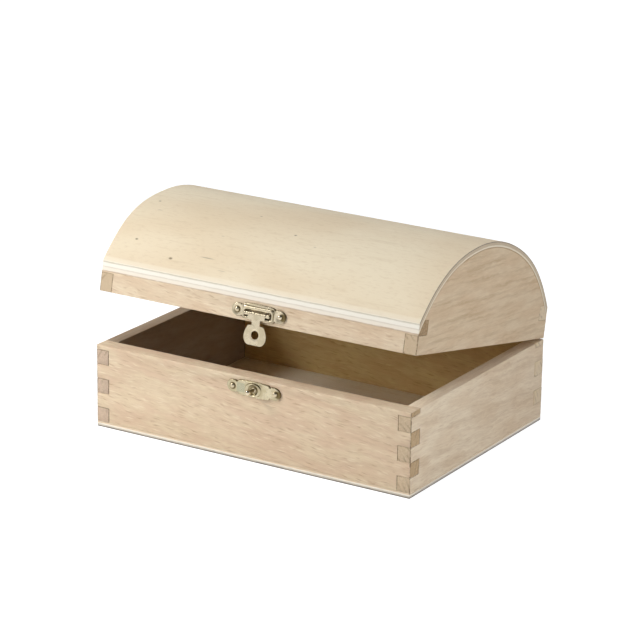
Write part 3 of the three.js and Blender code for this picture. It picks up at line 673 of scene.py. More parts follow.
# Depth of each line below the outer face, in millimetres, and its colour
PLY_LINES = (
    (0.0, 250, 240, 220), (0.3, 250, 240, 220), (0.42, 216, 207, 188), (0.6, 222, 213, 194),
    (0.75, 254, 249, 236), (1.5, 254, 248, 236), (1.72, 228, 218, 200), (1.95, 250, 241, 226),
    (2.55, 250, 240, 224), (2.8, 214, 192, 168), (2.95, 180, 150, 122),
)
# The same at the two ends, where the plies lie across
END_LINES = (
    (0.0, 126, 116, 108), (0.28, 140, 128, 116), (0.6, 204, 186, 160), (1.75, 208, 190, 164),
    (2.1, 242, 231, 208), (2.45, 244, 232, 210), (2.8, 200, 178, 148),
)
# The bottom panel's edge, from its underside up
PANEL_LINES = (
    (0.0, 116, 108, 102), (0.45, 128, 120, 112), (0.72, 206, 198, 184), (1.1, 218, 210, 196),
    (1.5, 255, 247, 232), (1.85, 255, 245, 228), (2.15, 236, 214, 184), (2.5, 232, 208, 178),
)
# How the lines wander and wear: their noises, how far and how strongly
PLY_WANDER = {"stretch": (0.12, 0.5)}
PLY_WANDER_REACH = 0.1
PLY_WEAR = {"stretch": (0.35, 1.5), "span": (0.45, 0.7), "detail": 2}
PLY_WEAR_TONE = 0.3
PLY_WORN = colour(250, 244, 232)
PANEL_WANDER = {"stretch": (0.3, 0.3, 1)}
PANEL_WANDER_REACH = 0.4
# The shares of the depth, or of looking along an axis, where one look passes into the next
OUTER_FACE_SPAN = (0.01, 0.04)
INNER_FACE_SPAN = (0.99, 0.96)
UNDER_SPAN = (0.4, 0.6)
ARCH_END_SPAN = (0.5, 0.9)
PANEL_FACE_SPAN = (0.5, 0.8)
INNER_VENEER = colour(230, 208, 176)
PANEL_VENEER = {"Pale": colour(252, 244, 228), "Warm": colour(244, 233, 212)}
SANDED_EDGE = 2.2
SANDED_TONE = 0.45
SANDED = colour(252, 242, 222)
MARK_TINT = colour(138, 118, 86)
MARK_SPAN = (1.0, 0.2)
# Marks in the veneer: place along X, arc from the crown, half length and half height in millimetres, strength
MARKS = (
    (-53.5, -70.6, 1.5, 0.9, 0.9), (-34, -66.5, 5.5, 0.45, 0.55), (-77.3, -63.6, 1.2, 0.8, 0.8),
    (-82, -34, 1.0, 0.8, 0.7), (-76.5, -42, 2.2, 0.5, 0.3), (2.5, -41.5, 1.2, 0.7, 0.75),
    (-24.5, -30, 1.1, 0.6, 0.5), (-33, -52, 1.5, 0.6, 0.2), (17, -47.5, 1.2, 0.6, 0.3),
    (-23, -72, 3.5, 0.4, 0.3), (38, 46, 1.4, 0.7, 0.7),
)


def line_ramp(depth, lines, thickness):
    """The lines' colours at a depth given as a share of the sheet's thickness."""
    made = add_node(depth.socket.id_data, "ValToRGB", {0: depth})
    elements = made.color_ramp.elements
    for line, *_ in lines[2:]:
        elements.new(line / thickness)
    for element, (line, *tint) in zip(elements, lines):
        element.position = line / thickness
        element.color = colour(*tint)
    return Wire(made.outputs[0])


def make_plywood(name, veneer):
    """The bent plywood: face veneer on its two faces, and its plies as lines where an edge is cut."""
    material, tree, shader, where = new_material(name)
    centre = lid_turned([[0, 0, ARCH_CENTRE]], LID_OPEN)[0]
    place = where["Object"].minus(tuple(centre.tolist()))
    place = place.mapped(Rotation=(LID_OPEN, 0, 0), Scale=(TO_MM, TO_MM, TO_MM))
    looks = place_group(tree, veneer, {"Vector": place})
    depth = Wire(add_node(tree, "Attribute", attribute_name="depth").outputs["Fac"])
    wavy = depth + (place.noise(**PLY_WANDER) - 0.5) * PLY_WANDER_REACH
    worn = place.noise(**PLY_WEAR) * PLY_WEAR_TONE
    edge = worn.mix(line_ramp(wavy, PLY_LINES, PLY_THICKNESS / MM), PLY_WORN)
    at_end = abs(where["Normal"].axis("X")).ramp(*ARCH_END_SPAN)
    edge = at_end.mix(edge, line_ramp(wavy, END_LINES, PLY_THICKNESS / MM))
    face = looks["Color"]
    for x, arc, half_length, half_height, strength in MARKS:
        angle = arc * MM / ARCH_RADIUS
        radius = (ARCH_RADIUS + arch_swell(angle, x * MM)) / MM
        spot = (x, math.sin(angle) * radius, math.cos(angle) * radius)
        away = place.minus(spot).times((1 / half_length, 1 / half_height, 1 / half_height))
        face = (away.length().ramp(*MARK_SPAN) * strength).mix(face, MARK_TINT)
    above_edge = place.axis("Z") - (PLY_UPPER_EDGE - ARCH_CENTRE) / MM
    face = (above_edge.ramp(SANDED_EDGE, SANDED_EDGE / 2) * SANDED_TONE).mix(face, SANDED)
    face = depth.ramp(*UNDER_SPAN).mix(face, INNER_VENEER, "MULTIPLY")
    cut = depth.ramp(*OUTER_FACE_SPAN) * depth.ramp(*INNER_FACE_SPAN)
    finish_wood(shader, cut.mix(face, edge), looks["Height"], DOME_SURFACE)
    return material


def make_panel_ply(name, veneer):
    """The bottom panel: thin plywood with its plies showing as lines along the edge."""
    material, tree, shader, where = new_material(name)
    place = where["Object"].scaled(TO_MM)
    looks = place_group(tree, veneer, {"Vector": place, **PANEL_VENEER})
    height = place.axis("Z") + (place.noise(**PANEL_WANDER) - 0.5) * PANEL_WANDER_REACH
    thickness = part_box("base_bottom_panel")[1][2] / MM
    edge = abs(where["Normal"].axis("Z")).ramp(*PANEL_FACE_SPAN).inverse()
    tint = edge.mix(looks["Color"], line_ramp(height / thickness, PANEL_LINES, thickness))
    finish_wood(shader, tint, looks["Height"], PANEL_SURFACE)
    return material


# The plating's noises per millimetre, and where they show
PLATE_PATCHES = {"scale": 0.22, "detail": 4, "Roughness": 0.6}
PLATE_FINE = {"scale": 3.0}
PATCH_SPAN = (0.35, 0.65)
PLATE_ROUGHNESS = (0.16, 0.2)
DARKENED_ROUGHNESS = 0.2
PLATE_RELIEF = 0.008 * MM
# The catch plate's darker grey-green square patch, from the middle of the plate
DARKER_PATCH_REACH = (2.6, 2.08)
DARKER_PATCH_PLACE = -7.3 * MM
DARKER_PATCH_TINT = colour(170, 168, 144)
# Painted shade on walls, less on those that face down, and round the tacks: its reach in millimetres and its
# shift, which moves it to the right of each tack
WALL_SPAN = (0.9, 0.6)
UPWARD_SPAN = (-0.3, 0.3)
WALL_BELOW = 0.4
TACK_SHADE_REACH = (2.15, 2.9)
TACK_SHADE_SHIFT = (0.25 * MM, 1.9 * MM)
# The catch plate's own tints, how strongly painted shade fills its cup and how strongly its darker patch
# shows
CATCH_LOOKS = {
    "Bright": colour(210, 199, 170),
    "Dull": colour(186, 174, 142),
    "Cup Dirt": 0.75,
    "Dulled": 0.8,
}


def make_plating_group():
    """Thin pale brass plating on pressed steel, in millimetres: satin, a little uneven, duller in patches
    and, where asked, darker in one square patch, with brown painted shade round two tacks, in the stud's cup
    and on walls that turn away from the outward direction, most on those that face up."""
    places = ("Vector", "Normal", "Outward", "First Tack", "Second Tack", "Middle", "Dull Spot")
    inputs = {
        **dict.fromkeys(places),
        "Bright": colour(217, 204, 178),
        "Dull": colour(198, 185, 156),
        "Dirt": colour(110, 94, 58),
        "Wall Dirt": 0.0,
        "Tack Dirt": 0.0,
        "Cup Dirt": 0.0,
        "Dulled": 0.0,
    }
    tree, source, result = new_group("plating", inputs, ("Color", "Roughness", "Height"))
    place, outward = source["Vector"], source["Outward"]
    patches = place.noise(**PLATE_PATCHES)
    tint = patches.ramp(*PATCH_SPAN).mix(source["Bright"], source["Dull"])
    to_spot = place.minus(source["Dull Spot"]).positive()
    to_spot = to_spot.axis("X").larger(to_spot.axis("Z"))
    tint = (to_spot.ramp(*DARKER_PATCH_REACH) * source["Dulled"]).mix(tint, DARKER_PATCH_TINT)
    # Painted shade on the walls that turn away from the outward direction, stronger on those that face up
    upper = source["Normal"].axis("Z").ramp(*UPWARD_SPAN) * (1 - WALL_BELOW) + WALL_BELOW
    darkening = source["Normal"].dot(outward).ramp(*WALL_SPAN) * source["Wall Dirt"] * upper
    # Painted shade round each tack, centred to its right, and in the stud's cup
    for spot, strength, reach, full in (
        ("First Tack", "Tack Dirt", TACK_SHADE_REACH[0], NAIL_HEAD / MM),
        ("Second Tack", "Tack Dirt", TACK_SHADE_REACH[1], NAIL_HEAD / MM),
        ("Middle", "Cup Dirt", CUP_WALL[1] / MM, CUP_WALL[0] / MM),
    ):
        offset = place.minus(source[spot])
        flat = offset.minus(outward.scaled(offset.dot(outward)))
        darkening = darkening.larger(flat.length().ramp(reach, full) * source[strength])
    rough = patches * PLATE_ROUGHNESS[0] + PLATE_ROUGHNESS[1] + darkening * DARKENED_ROUGHNESS
    feed(result, {"Color": darkening.mix(tint, source["Dirt"]), "Roughness": rough})
    feed(result, {"Height": place.noise(**PLATE_FINE)})
    return tree


def make_plating(name, group, **looks):
    """Pale brass plating, with painted shade round its tacks, in its cup and on its walls where asked."""
    material, tree, shader, where = new_material(name)
    inputs = {"Vector": where["Object"].scaled(TO_MM), "Normal": where["Normal"], **looks}
    plated = place_group(tree, group, inputs)
    feed(shader, {"Base Color": plated["Color"], "Roughness": plated["Roughness"], "Metallic": 1.0})
    feed(shader, {"Normal": plated["Height"].bump(PLATE_RELIEF)})
    return material


def nailed_plate_looks(front, ear_x):
    """Where a plate's two tacks, its middle and its darker patch are, in millimetres, which way it faces, and
    how strongly painted shade falls on its walls and round its tacks.
    """
    left, right = TACK_SHADE_SHIFT
    spots = ((left - ear_x, 0, 0), (right + ear_x, 0, 0), (left, 0, 0), (DARKER_PATCH_PLACE, 0, PLATE_TOP))
    names = ("First Tack", "Second Tack", "Middle", "Dull Spot")
    places = {name: tuple(spot / MM) for name, spot in zip(names, front.place(spots))}
    return {**places, "Outward": tuple(front.outward()), "Wall Dirt": 0.9, "Tack Dirt": 0.95}


# Wooden pieces
def arc_points(radius, start, end, steps, x):
    """Points (y, z) round the arch's centre between two angles from +Y: a circle with fuller shoulders."""
    angles = np.linspace(start, end, steps)
    swollen = radius + arch_swell(angles - math.pi / 2, x)
    return np.stack((swollen * np.cos(angles), ARCH_CENTRE + swollen * np.sin(angles)), axis=1)


def arch_angle(radius, height):
    """Angle from +Y at which an arch of this radius reaches a height."""
    return math.asin((height - ARCH_CENTRE) / radius)


def make_dome(material):
    """A sheet between two arcs a ply's thickness apart, with X along it and the arc across it, cut upright at
    the front and the back. Its depth attribute is 0 outside and 1 inside."""
    points = np.empty((2, DOME_STATIONS, ARCH_STEPS, 3))
    for side, radius, edge in ((0, ARCH_RADIUS, PLY_UPPER_EDGE), (1, INNER_RADIUS, PLY_LOWER_EDGE)):
        start = arch_angle(radius, edge)
        for station, x in enumerate(np.linspace(-HALF_WIDTH, HALF_WIDTH, DOME_STATIONS)):
            points[side, station, :, 0] = x
            points[side, station, :, 1:] = arc_points(radius, start, math.pi - start, ARCH_STEPS, x)
    size = DOME_STATIONS * ARCH_STEPS
    sheet = grid_faces(DOME_STATIONS, ARCH_STEPS, False, False)
    numbers = np.arange(size).reshape(DOME_STATIONS, ARCH_STEPS)
    border = np.concatenate((numbers[:-1, 0], numbers[-1, :-1], numbers[:0:-1, -1], numbers[0, :0:-1]))
    following = np.roll(border, -1)
    rim = np.stack((border, following, following + size, border + size), axis=1)
    faces = np.concatenate((sheet, sheet[:, ::-1] + size, rim))
    mesh = mesh_from("dome", lid_turned(points, LID_OPEN), faces)
    depth = mesh.attributes.new("depth", "FLOAT", "POINT")
    depth.data.foreach_set("value", np.repeat([0.0, 1.0], size))
    ease_edges(make_piece("dome", mesh, material, "lid", "lid_plywood_cover", slot="plywood"), PLY_EASE)


def make_lid_ends(material):
    """The D-shaped ends: a finger at each lower corner, a notch for the rail and the arch above."""
    support = INNER_RADIUS - GLUE_LINE
    notch = HALF_DEPTH - (rail_high[1] - rail_low[1]) - GLUE_LINE
    ledge = rail_high[2] + GLUE_LINE
    finger_top = front_face_top("lid_right_end")
    start = arch_angle(support, ledge)
    right = [(HALF_DEPTH, end_low[2]), (HALF_DEPTH, finger_top), (notch, finger_top), (notch, ledge)]
    left = [(-y, z) for y, z in reversed(right)]
    thickness = end_high[0] - end_low[0]
    for name, node, from_x, face_x in (
        ("left_end", "lid_left_end", -HALF_WIDTH, -HALF_WIDTH),
        ("right_end", "lid_right_end", HALF_WIDTH - thickness, HALF_WIDTH),
    ):
        arch = arc_points(support, start, math.pi - start, ARCH_STEPS, face_x)
        outline = np.concatenate((right, arch, left))
        count = len(outline)
        points = np.empty((2, count, 3))
        points[:, :, 0] = [[from_x], [from_x + thickness]]
        points[:, :, 1:] = outline
        faces = grid_faces(2, count, False, True).tolist()
        faces += [list(range(count)), list(range(count, 2 * count))]
        mesh = mesh_from(name, lid_turned(points, LID_OPEN), faces)
        ease_edges(make_piece(name, mesh, material, "lid", node, slot="side_beech"), BOARD_EASE)


# Metal pieces. A plate's own frame has u to the right, v up and w out of the wood, with its middle at zero.
class FrontFrame:
    """Places (u, v, w) points on the front face, and opens them with the lid where asked."""

    def __init__(self, corners, opened):
        self.middle = np.mean(corners, axis=0)
        self.middle[1] = -HALF_DEPTH
        self.opened = opened

    def place(self, points):
        points = np.asarray(points, float)
        moved = np.stack((points[..., 0], -points[..., 2], points[..., 1]), axis=-1) + self.middle
        return lid_turned(moved, LID_OPEN) if self.opened else moved

    def outward(self):
        foot, tip = self.place(((0, 0, 0), (0, 0, 1)))
        return tip - foot


def edge_height(u):
    """Half height of the plate at u: a swollen body, a nick and the straight sides of the ears."""
    body = BODY_SHOULDER + BODY_BULGE * (1 - (u / BODY_HALF) ** 2)
    inside = smoothstep((BODY_HALF + BODY_CORNER / 4 - np.abs(u)) / BODY_CORNER)
    nick = NICK_DEPTH * np.exp(-(((np.abs(u) - NICK_PLACE) / NICK_WIDTH) ** 2))
    return EAR_RADIUS + (body - EAR_RADIUS) * inside - nick


def escutcheon(ear_x):
    """The plate's outline, anticlockwise from its right end: half circles about the nails at both ends. Its
    points are evenly spaced."""
    u = np.linspace(ear_x, -ear_x, OUTLINE_SAMPLES)
    quarter = np.linspace(0, math.pi / 2, EAR_SAMPLES)
    ear_u, ear_v = ear_x + EAR_RADIUS * np.cos(quarter), EAR_RADIUS * np.sin(quarter)
    x = np.concatenate((ear_u, u, -ear_u[::-1]))
    y = np.concatenate((ear_v, edge_height(u), ear_v[::-1]))
    x, y = (np.concatenate((half, -half[1:-1], half[:1])) for half in (x, y))
    length = np.concatenate(([0], np.cumsum(np.hypot(np.diff(x), np.diff(y)))))
    along = np.linspace(0, length[-1], PLATE_RAYS, endpoint=False)
    return np.stack((np.interp(along, length, x), np.interp(along, length, y)), axis=1)


def rectangle_distance(u, v, middle, half, corner):
    """Signed distance to a rounded rectangle about (0, middle): below zero inside."""
    x = np.abs(u) - half[0] + corner
    y = np.abs(v - middle) - half[1] + corner
    outside = np.hypot(np.maximum(x, 0), np.maximum(y, 0))
    return outside + np.minimum(np.maximum(x, y), 0) - corner


def pressing(inner, outer, height, rings, ear_x):
    """A pressed plate between two closed curves: straight rays joined between them, lifted to height(u, v)
    less a dimple at each nail and a rolled edge, with its underside on its seat."""
    share = np.linspace(0, 1, rings)[None, :]
    u = inner[:, None, 0] * (1 - share) + outer[:, None, 0] * share
    reach = edge_height(np.clip(u, -ear_x, ear_x)) / edge_height(np.clip(outer[:, None, 0], -ear_x, ear_x))
    v = inner[:, None, 1] * (1 - share) + outer[:, None, 1] * share * reach
    from_nails = [np.hypot(u - nail, v) / DIMPLE_RADIUS for nail in (-ear_x, ear_x)]
    dimple = sum(np.exp(-(away**DIMPLE_FLATNESS)) for away in from_nails)
    away = np.min(np.hypot(u[..., None] - outer[:, 0], v[..., None] - outer[:, 1]), axis=-1)
    rolled = ROLLED_EDGE * (1 - smoothstep(away / ROLLED_EDGE_WIDTH)) ** 2
    top = height(u, v) - DIMPLE_DEPTH * dimple - rolled
    upper = np.stack((u, v, top), axis=-1)
    lower = np.stack((u, v, np.full_like(u, SEAT_GAP)), axis=-1)[:, ::-1]
    points = np.concatenate((upper, lower), axis=1)
    return points, grid_faces(points.shape[0], points.shape[1], True, True)


def lathe(profile, steps, place):
    """A closed (radius, height) profile turned about w, placed by a function."""
    radius, height = np.asarray(profile, float).T
    angles = np.linspace(0, math.tau, steps, endpoint=False)[:, None]
    turned = np.broadcast_arrays(radius * np.cos(angles), radius * np.sin(angles), height)
    return place(np.stack(turned, axis=-1)), grid_faces(steps, len(profile), True, False)


def make_turned(name, node, profile, steps, place, material, body):
    """A metal piece turned from a (radius, height) profile."""
    make_piece(name, mesh_from(name, *lathe(profile, steps, place)), material, body, node)


def make_nail(name, node, front, u, material, body):
    """A domed head on a round shank with a point, through the sheet at u."""
    nail = [(0, -NAIL_LENGTH), (NAIL_SHANK, NAIL_POINT), (NAIL_SHANK, 0), (NAIL_UNDERSIDE, 0)]
    angles = np.linspace(math.pi / 2, 0, NAIL_HEAD_STEPS)
    nail += [(NAIL_HEAD * math.sin(a), NAIL_RISE * math.cos(a)) for a in angles]
    seat = np.array((u, 0, ON_SHEET))
    make_turned(name, node, nail, NAIL_STEPS, lambda points: front.place(points + seat), material, body)


def on_hasp_axis(points):
    """Points made round w, laid along u at the hasp's pin."""
    return np.stack((points[..., 2], points[..., 0] - AXIS_BELOW, points[..., 1] + AXIS_OUT), axis=-1)


def knuckle(start, end):
    """A tube with softened ends on the hasp's axis."""
    outer, inner = KNUCKLE_RADIUS, KNUCKLE_BORE
    soft = (outer - inner) * KNUCKLE_SOFT
    profile = [(inner, start + soft), (inner + soft, start), (outer - soft, start), (outer, start + soft)]
    profile += [(outer, end - soft), (outer - soft, end), (inner + soft, end), (inner, end - soft)]
    return lathe(profile + profile[:1], ROUND_STEPS, on_hasp_axis)


def make_hasp_plate(material, front, ear_x):
    """The plate with its window, the rounded bar raised round it and the knuckles beside the tongue's."""
    outer = escutcheon(ear_x)
    angle = np.arctan2(outer[:, 1] * HASP_FAN, outer[:, 0])
    over, up = np.cos(angle), np.sin(angle) / HASP_FAN
    reach = 1 / np.maximum(np.abs(over) / WINDOW_HALF[0], np.abs(up) / WINDOW_HALF[1])
    inner = np.stack((reach * over, reach * up - AXIS_BELOW), axis=1)

    def height(u, v):
        to_window = np.maximum(rectangle_distance(u, v, -AXIS_BELOW, WINDOW_HALF, WINDOW_CORNER), 0)
        to_frame = np.maximum(-rectangle_distance(u, v, -FRAME_DROP, FRAME_HALF, FRAME_CORNER), 0)
        share = to_window / (to_window + to_frame + TINY)
        bar = np.where(to_frame > 0, np.sin(math.pi * np.clip(share, 0, 1)) ** BAR_FULLNESS, 0)
        return PLATE_TOP + FRAME_RISE * bar

    near, far = KNUCKLE_STRETCH
    parts = [pressing(inner, outer, height, HASP_RINGS, ear_x), knuckle(-far, -near), knuckle(near, far)]
    mesh = joined("hasp_pressing", [(front.place(points), faces) for points, faces in parts])
    make_piece("hasp_pressing", mesh, material, "lid", "hasp_plate")
    mesh.set_sharp_from_angle(angle=CRISP_ANGLE)


def make_catch_plate(material, front, ear_x):
    """The plate with an oval boss, a cup round the stud and a rim turned up round the cup."""
    outer = escutcheon(ear_x)
    angle = np.arctan2(outer[:, 1] * CATCH_FAN, outer[:, 0])
    inner = STUD_HOLE * np.stack((np.cos(angle), np.sin(angle)), axis=1)

    def height(u, v):
        away = np.hypot(u, v)
        oval = np.hypot(u / BOSS_HALF[0], v / BOSS_HALF[1])
        boss = BOSS_RISE * smoothstep((1 - oval) / BOSS_EASE)
        rim = RIM_RISE * np.exp(-(((away - RIM_RADIUS) / (RIM_WIDTH / 2)) ** 2))
        cup = smoothstep((away - CUP_WALL[0]) / (CUP_WALL[1] - CUP_WALL[0]))
        floor = SEAT_GAP + SHEET
        return floor + cup * (PLATE_TOP - floor + boss + rim)

    points, faces = pressing(inner, outer, height, CATCH_RINGS, ear_x)
    mesh = mesh_from("catch_pressing", front.place(points), faces)
    make_piece("catch_pressing", mesh, material, "base", "catch_plate")
    mesh.set_sharp_from_angle(angle=CRISP_ANGLE)


def tongue_half_width(drop):
    """Half width at a drop below the pin: strap, neck, shoulder and a rounded drop with a flat tip."""
    neck = BARREL_HALF + (NECK_HALF - BARREL_HALF) * smoothstep((drop - STRAP_LENGTH) / NECK_EASE)
    rise = np.clip((drop - SHOULDER_DROP) / (TONGUE_WIDEST - SHOULDER_DROP), 0, 1)
    upper = SHOULDER_HALF + (TONGUE_HALF - SHOULDER_HALF) * np.sin(rise * math.pi / 2)
    fall = np.clip((drop - TONGUE_WIDEST) / (TONGUE_LENGTH - TONGUE_WIDEST), 0, 1)
    lower = TIP_HALF + (TONGUE_HALF - TIP_HALF) * np.sqrt(np.maximum(1 - fall**TIP_FULLNESS, 0))
    blade = np.where(drop < TONGUE_WIDEST, upper, lower)
    return neck + (blade - neck) * smoothstep((drop - SHOULDER_DROP) / SHOULDER_EASE + 0.5)


def make_tongue(material, front):
    """One sheet carried from its rolled end down the blade: rows along it, columns from the hole or the
    middle out to the edge, mirrored, with a dished rim round the hole."""
    hole = HOLE_DROP - HOLE_RADIUS * np.cos(np.linspace(0, math.pi, HOLE_ROWS))
    tip = TONGUE_LENGTH - (TONGUE_LENGTH - hole[-1]) * (1 - np.linspace(*TIP_ROWS)) ** TIP_CROWDING
    upper = [np.linspace(*rows) for rows in (STRAP_ROWS, SHOULDER_ROWS, UPPER_ROWS)]
    drops = np.concatenate((*upper, hole, tip))[:, None]
    inner = np.sqrt(np.maximum(HOLE_RADIUS**2 - (drops - HOLE_DROP) ** 2, 0))
    columns = np.linspace(0, 1, TONGUE_COLUMNS)[None, :]
    across = inner + (tongue_half_width(drops) - inner) * columns
    away = np.hypot(across, drops - HOLE_DROP)
    dish = HOLE_DISH * (1 - smoothstep((away - HOLE_RADIUS) / HOLE_DISH_WIDTH))
    crown = CROWN_DROP * smoothstep((drops - SHOULDER_DROP) / CROWN_EASE) * (across / TONGUE_HALF) ** 2
    out = AXIS_OUT + KNUCKLE_RADIUS - dish - crown
    blade = np.stack(np.broadcast_arrays(across, -AXIS_BELOW - drops, out), axis=-1)
    roll = np.linspace(-ROLL_ANGLE, 0, ROLL_ROWS, endpoint=False)[:, None]
    up, out = -KNUCKLE_RADIUS * np.sin(roll) - AXIS_BELOW, KNUCKLE_RADIUS * np.cos(roll) + AXIS_OUT
    rolled = np.stack(np.broadcast_arrays(BARREL_HALF * columns, up, out), axis=-1)
    half = np.concatenate((rolled, blade), axis=0)
    other = half * np.array([-1, 1, 1])
    shift = TONGUE_SHIFT * smoothstep((-half[:, :, 1] - AXIS_BELOW - STRAP_LENGTH) / SHOULDER_DROP)
    for side in (half, other):
        side[:, :, 0] += shift
    faces = grid_faces(half.shape[0], half.shape[1], False, False)
    mesh = joined("hasp_drop", [(front.place(half), faces), (front.place(other), faces[:, ::-1])])
    piece = make_piece("hasp_drop", mesh, material, "tongue", "hasp_tongue")
    wall = piece.modifiers.new("sheet", "SOLIDIFY")
    wall.thickness = KNUCKLE_RADIUS - KNUCKLE_BORE
    wall.offset = -1
    wall.use_rim = True
    ease_edges(piece, METAL_EASE)


def make_stud(material, front, tip):
    """A collar in the cup, a neck and a ball head."""
    neck, collar, top, soft = STUD_NECK, STUD_COLLAR, STUD_COLLAR_TOP, STUD_SOFT
    profile = [(0, SEAT_GAP), (neck, SEAT_GAP), (neck, ON_SHEET), (collar - soft, ON_SHEET)]
    profile += [(collar, ON_SHEET + soft), (collar, top - soft), (collar - soft, top), (neck + soft, top)]
    profile += [(neck, top + 2 * soft)]
    angles = np.linspace(math.asin(neck / STUD_HEAD), math.pi, BALL_STEPS)
    profile += [(STUD_HEAD * math.sin(a), tip - STUD_HEAD - STUD_HEAD * math.cos(a)) for a in angles]
    make_turned("catch_button", "catch_stud", profile, ROUND_STEPS, front.place, material, "base")


def make_pin(material, front):
    """A round pin with chamfered ends along the hasp's axis."""
    half = np.ptp(shut_box("hasp_pin"), axis=0)[0] / 2
    pin = [(0, -half), (PIN_RADIUS - PIN_CHAMFER, -half), (PIN_RADIUS, PIN_CHAMFER - half)]
    pin += [(radius, -height) for radius, height in reversed(pin)]
    on_axis = (NAIL_STEPS, lambda points: front.place(on_hasp_axis(points)))
    make_turned("hasp_wire", "hasp_pin", pin, *on_axis, material, "lid")


def make_clasp(group, material):
    corners = shut_box("hasp_plate")
    ear_x = np.ptp(corners, axis=0)[0] / 2 - EAR_RADIUS
    hasp, catch = FrontFrame(corners, True), FrontFrame(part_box("catch_plate"), False)
    plate = make_plating("hasp_plating", group, **nailed_plate_looks(hasp, ear_x))
    dull = make_plating("catch_plating", group, **nailed_plate_looks(catch, ear_x), **CATCH_LOOKS)
    make_hasp_plate(plate, hasp, ear_x)
    make_tongue(material, hasp)
    make_pin(material, hasp)
    make_catch_plate(dull, catch, ear_x)
    make_stud(material, catch, -HALF_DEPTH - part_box("catch_stud")[0][1])
    for word, front, body in (("hasp", hasp, "lid"), ("catch", catch, "base")):
        for end, u in (("left", -ear_x), ("right", ear_x)):
            make_nail(f"{word}_{end}_tack", f"{word}_nail_{end}", front, u, material, body)


def make_hinges(material):
    for side in ("left", "right"):
        pieces = []
        for body in ("base", "lid"):
            pieces.append((body, f"{body}_leaf", f"hinge_{body}_leaf"))
            pieces += [(body, f"{body}_tack_{end}", f"hinge_{body}_nail_{end}") for end in ("left", "right")]
        for body, name, node in (*pieces, ("base", "hinge_rod", "hinge_pin")):
            make_eased_copy(f"{side}_{name}", f"{side}_{node}", material, body, "pale_brass", METAL_EASE)


# Stage: how white the floor and the world are where seen, and how white as lights. Both spans are where one
# level passes into the other, by the distance from the box and by how far up a reflection looks.
FLOOR_SIZE = 8
FLOOR_WHITE = 0.9
FLOOR_SEEN = 0.35
FLOOR_GLOW = 0.88
FLOOR_WHITENS = (0.3, 0.9)
FILL = 0.02
ZENITH_SEEN = 0.12
ZENITH_SPAN = (0.08, 0.5)


def seen_rays(tree):
    """1 for the rays that show the background: the camera's own, mirrored ones and those through glass."""
    rays = wires(add_node(tree, "LightPath"))
    return rays["Is Camera Ray"].larger(rays["Is Glossy Ray"]).larger(rays["Is Transmission Ray"])


def make_floor():
    """A white floor that keeps the box's shadow and turns pure white farther off."""
    half = FLOOR_SIZE / 2
    mesh = bpy.data.meshes.new("floor")
    corners = [(-half, -half, 0), (half, -half, 0), (half, half, 0), (-half, half, 0)]
    mesh.from_pydata(corners, [], [range(4)])
    floor = add_object("floor", mesh)
    material, tree, shader, where = new_material("white_floor")
    seen = seen_rays(tree)
    white, dimmed = ((level, level, level, 1) for level in (FLOOR_WHITE, FLOOR_SEEN))
    glow = where["Object"].length().ramp(*FLOOR_WHITENS) * (1 - FLOOR_GLOW) + FLOOR_GLOW
    feed(shader, {"Base Color": seen.mix(white, dimmed), "Roughness": 1.0, "Specular IOR Level": 0.0})
    feed(shader, {"Emission Color": (1, 1, 1, 1), "Emission Strength": seen * glow})
    mesh.materials.append(material)


def make_world():
    """A little soft light from all round. The camera sees white, and so do reflections but high overhead."""
    world = bpy.data.worlds.new("studio")
    bpy.context.scene.world = world
    world.use_nodes = True
    tree = world.node_tree
    upward = wires(add_node(tree, "TexCoord"))["Generated"].axis("Z")
    level = upward.ramp(*ZENITH_SPAN) * (ZENITH_SEEN - 1) + 1.0
    level = level.larger(wires(add_node(tree, "LightPath"))["Is Camera Ray"])
    lit = (level - FILL) * seen_rays(tree) + FILL
    feed(tree.nodes["Background"].inputs, {"Color": (1, 1, 1, 1), "Strength": lit})


# Each lamp's direction in degrees right of the front and above the floor, its distance and size in metres,
# its watts and its tint
WARM_TINT = (1.0, 0.99, 0.97)
COOL_TINT = (0.95, 0.98, 1.05)
SKY_TINT = (0.86, 0.97, 1.16)
LAMPS = (
    ("key_lamp", -58, 38, 0.95, 0.33, 4.15, WARM_TINT),
    ("low_front_lamp", -40, 22, 0.95, 0.46, 3.7, WARM_TINT),
    ("right_near_lamp", 82, 20, 0.6, 0.35, 0.78, WARM_TINT),
    ("right_high_lamp", 82, 62, 1.5, 0.9, 3.8, COOL_TINT),
    ("back_right_lamp", 135, 12, 1.5, 0.9, 1.8, COOL_TINT),
    ("back_lamp", 180, 38, 1.5, 0.9, 3.0, COOL_TINT),
    ("top_lamp", 0, 88, 1.5, 0.9, 1.6, SKY_TINT),
)
MIRRORED_LAMP = "key_lamp"
LAMPS_AIM = Vector((0, 0, 0.05))


def make_lamps():
    for name, azimuth, elevation, distance, size, power, tint in LAMPS:
        turn, lift = math.radians(azimuth), math.radians(elevation)
        level = math.cos(lift)
        direction = Vector((math.sin(turn) * level, -math.cos(turn) * level, math.sin(lift)))
        lamp = bpy.data.lights.new(name, "AREA")
        lamp.shape = "DISK"
        lamp.size = size
        lamp.energy = power
        lamp.color = tint
        made = add_object(name, lamp)
        made.location = direction * distance + LAMPS_AIM
        made.rotation_mode = "QUATERNION"
        made.rotation_quaternion = direction.to_track_quat("Z", "Y")
        made.visible_glossy = name == MIRRORED_LAMP


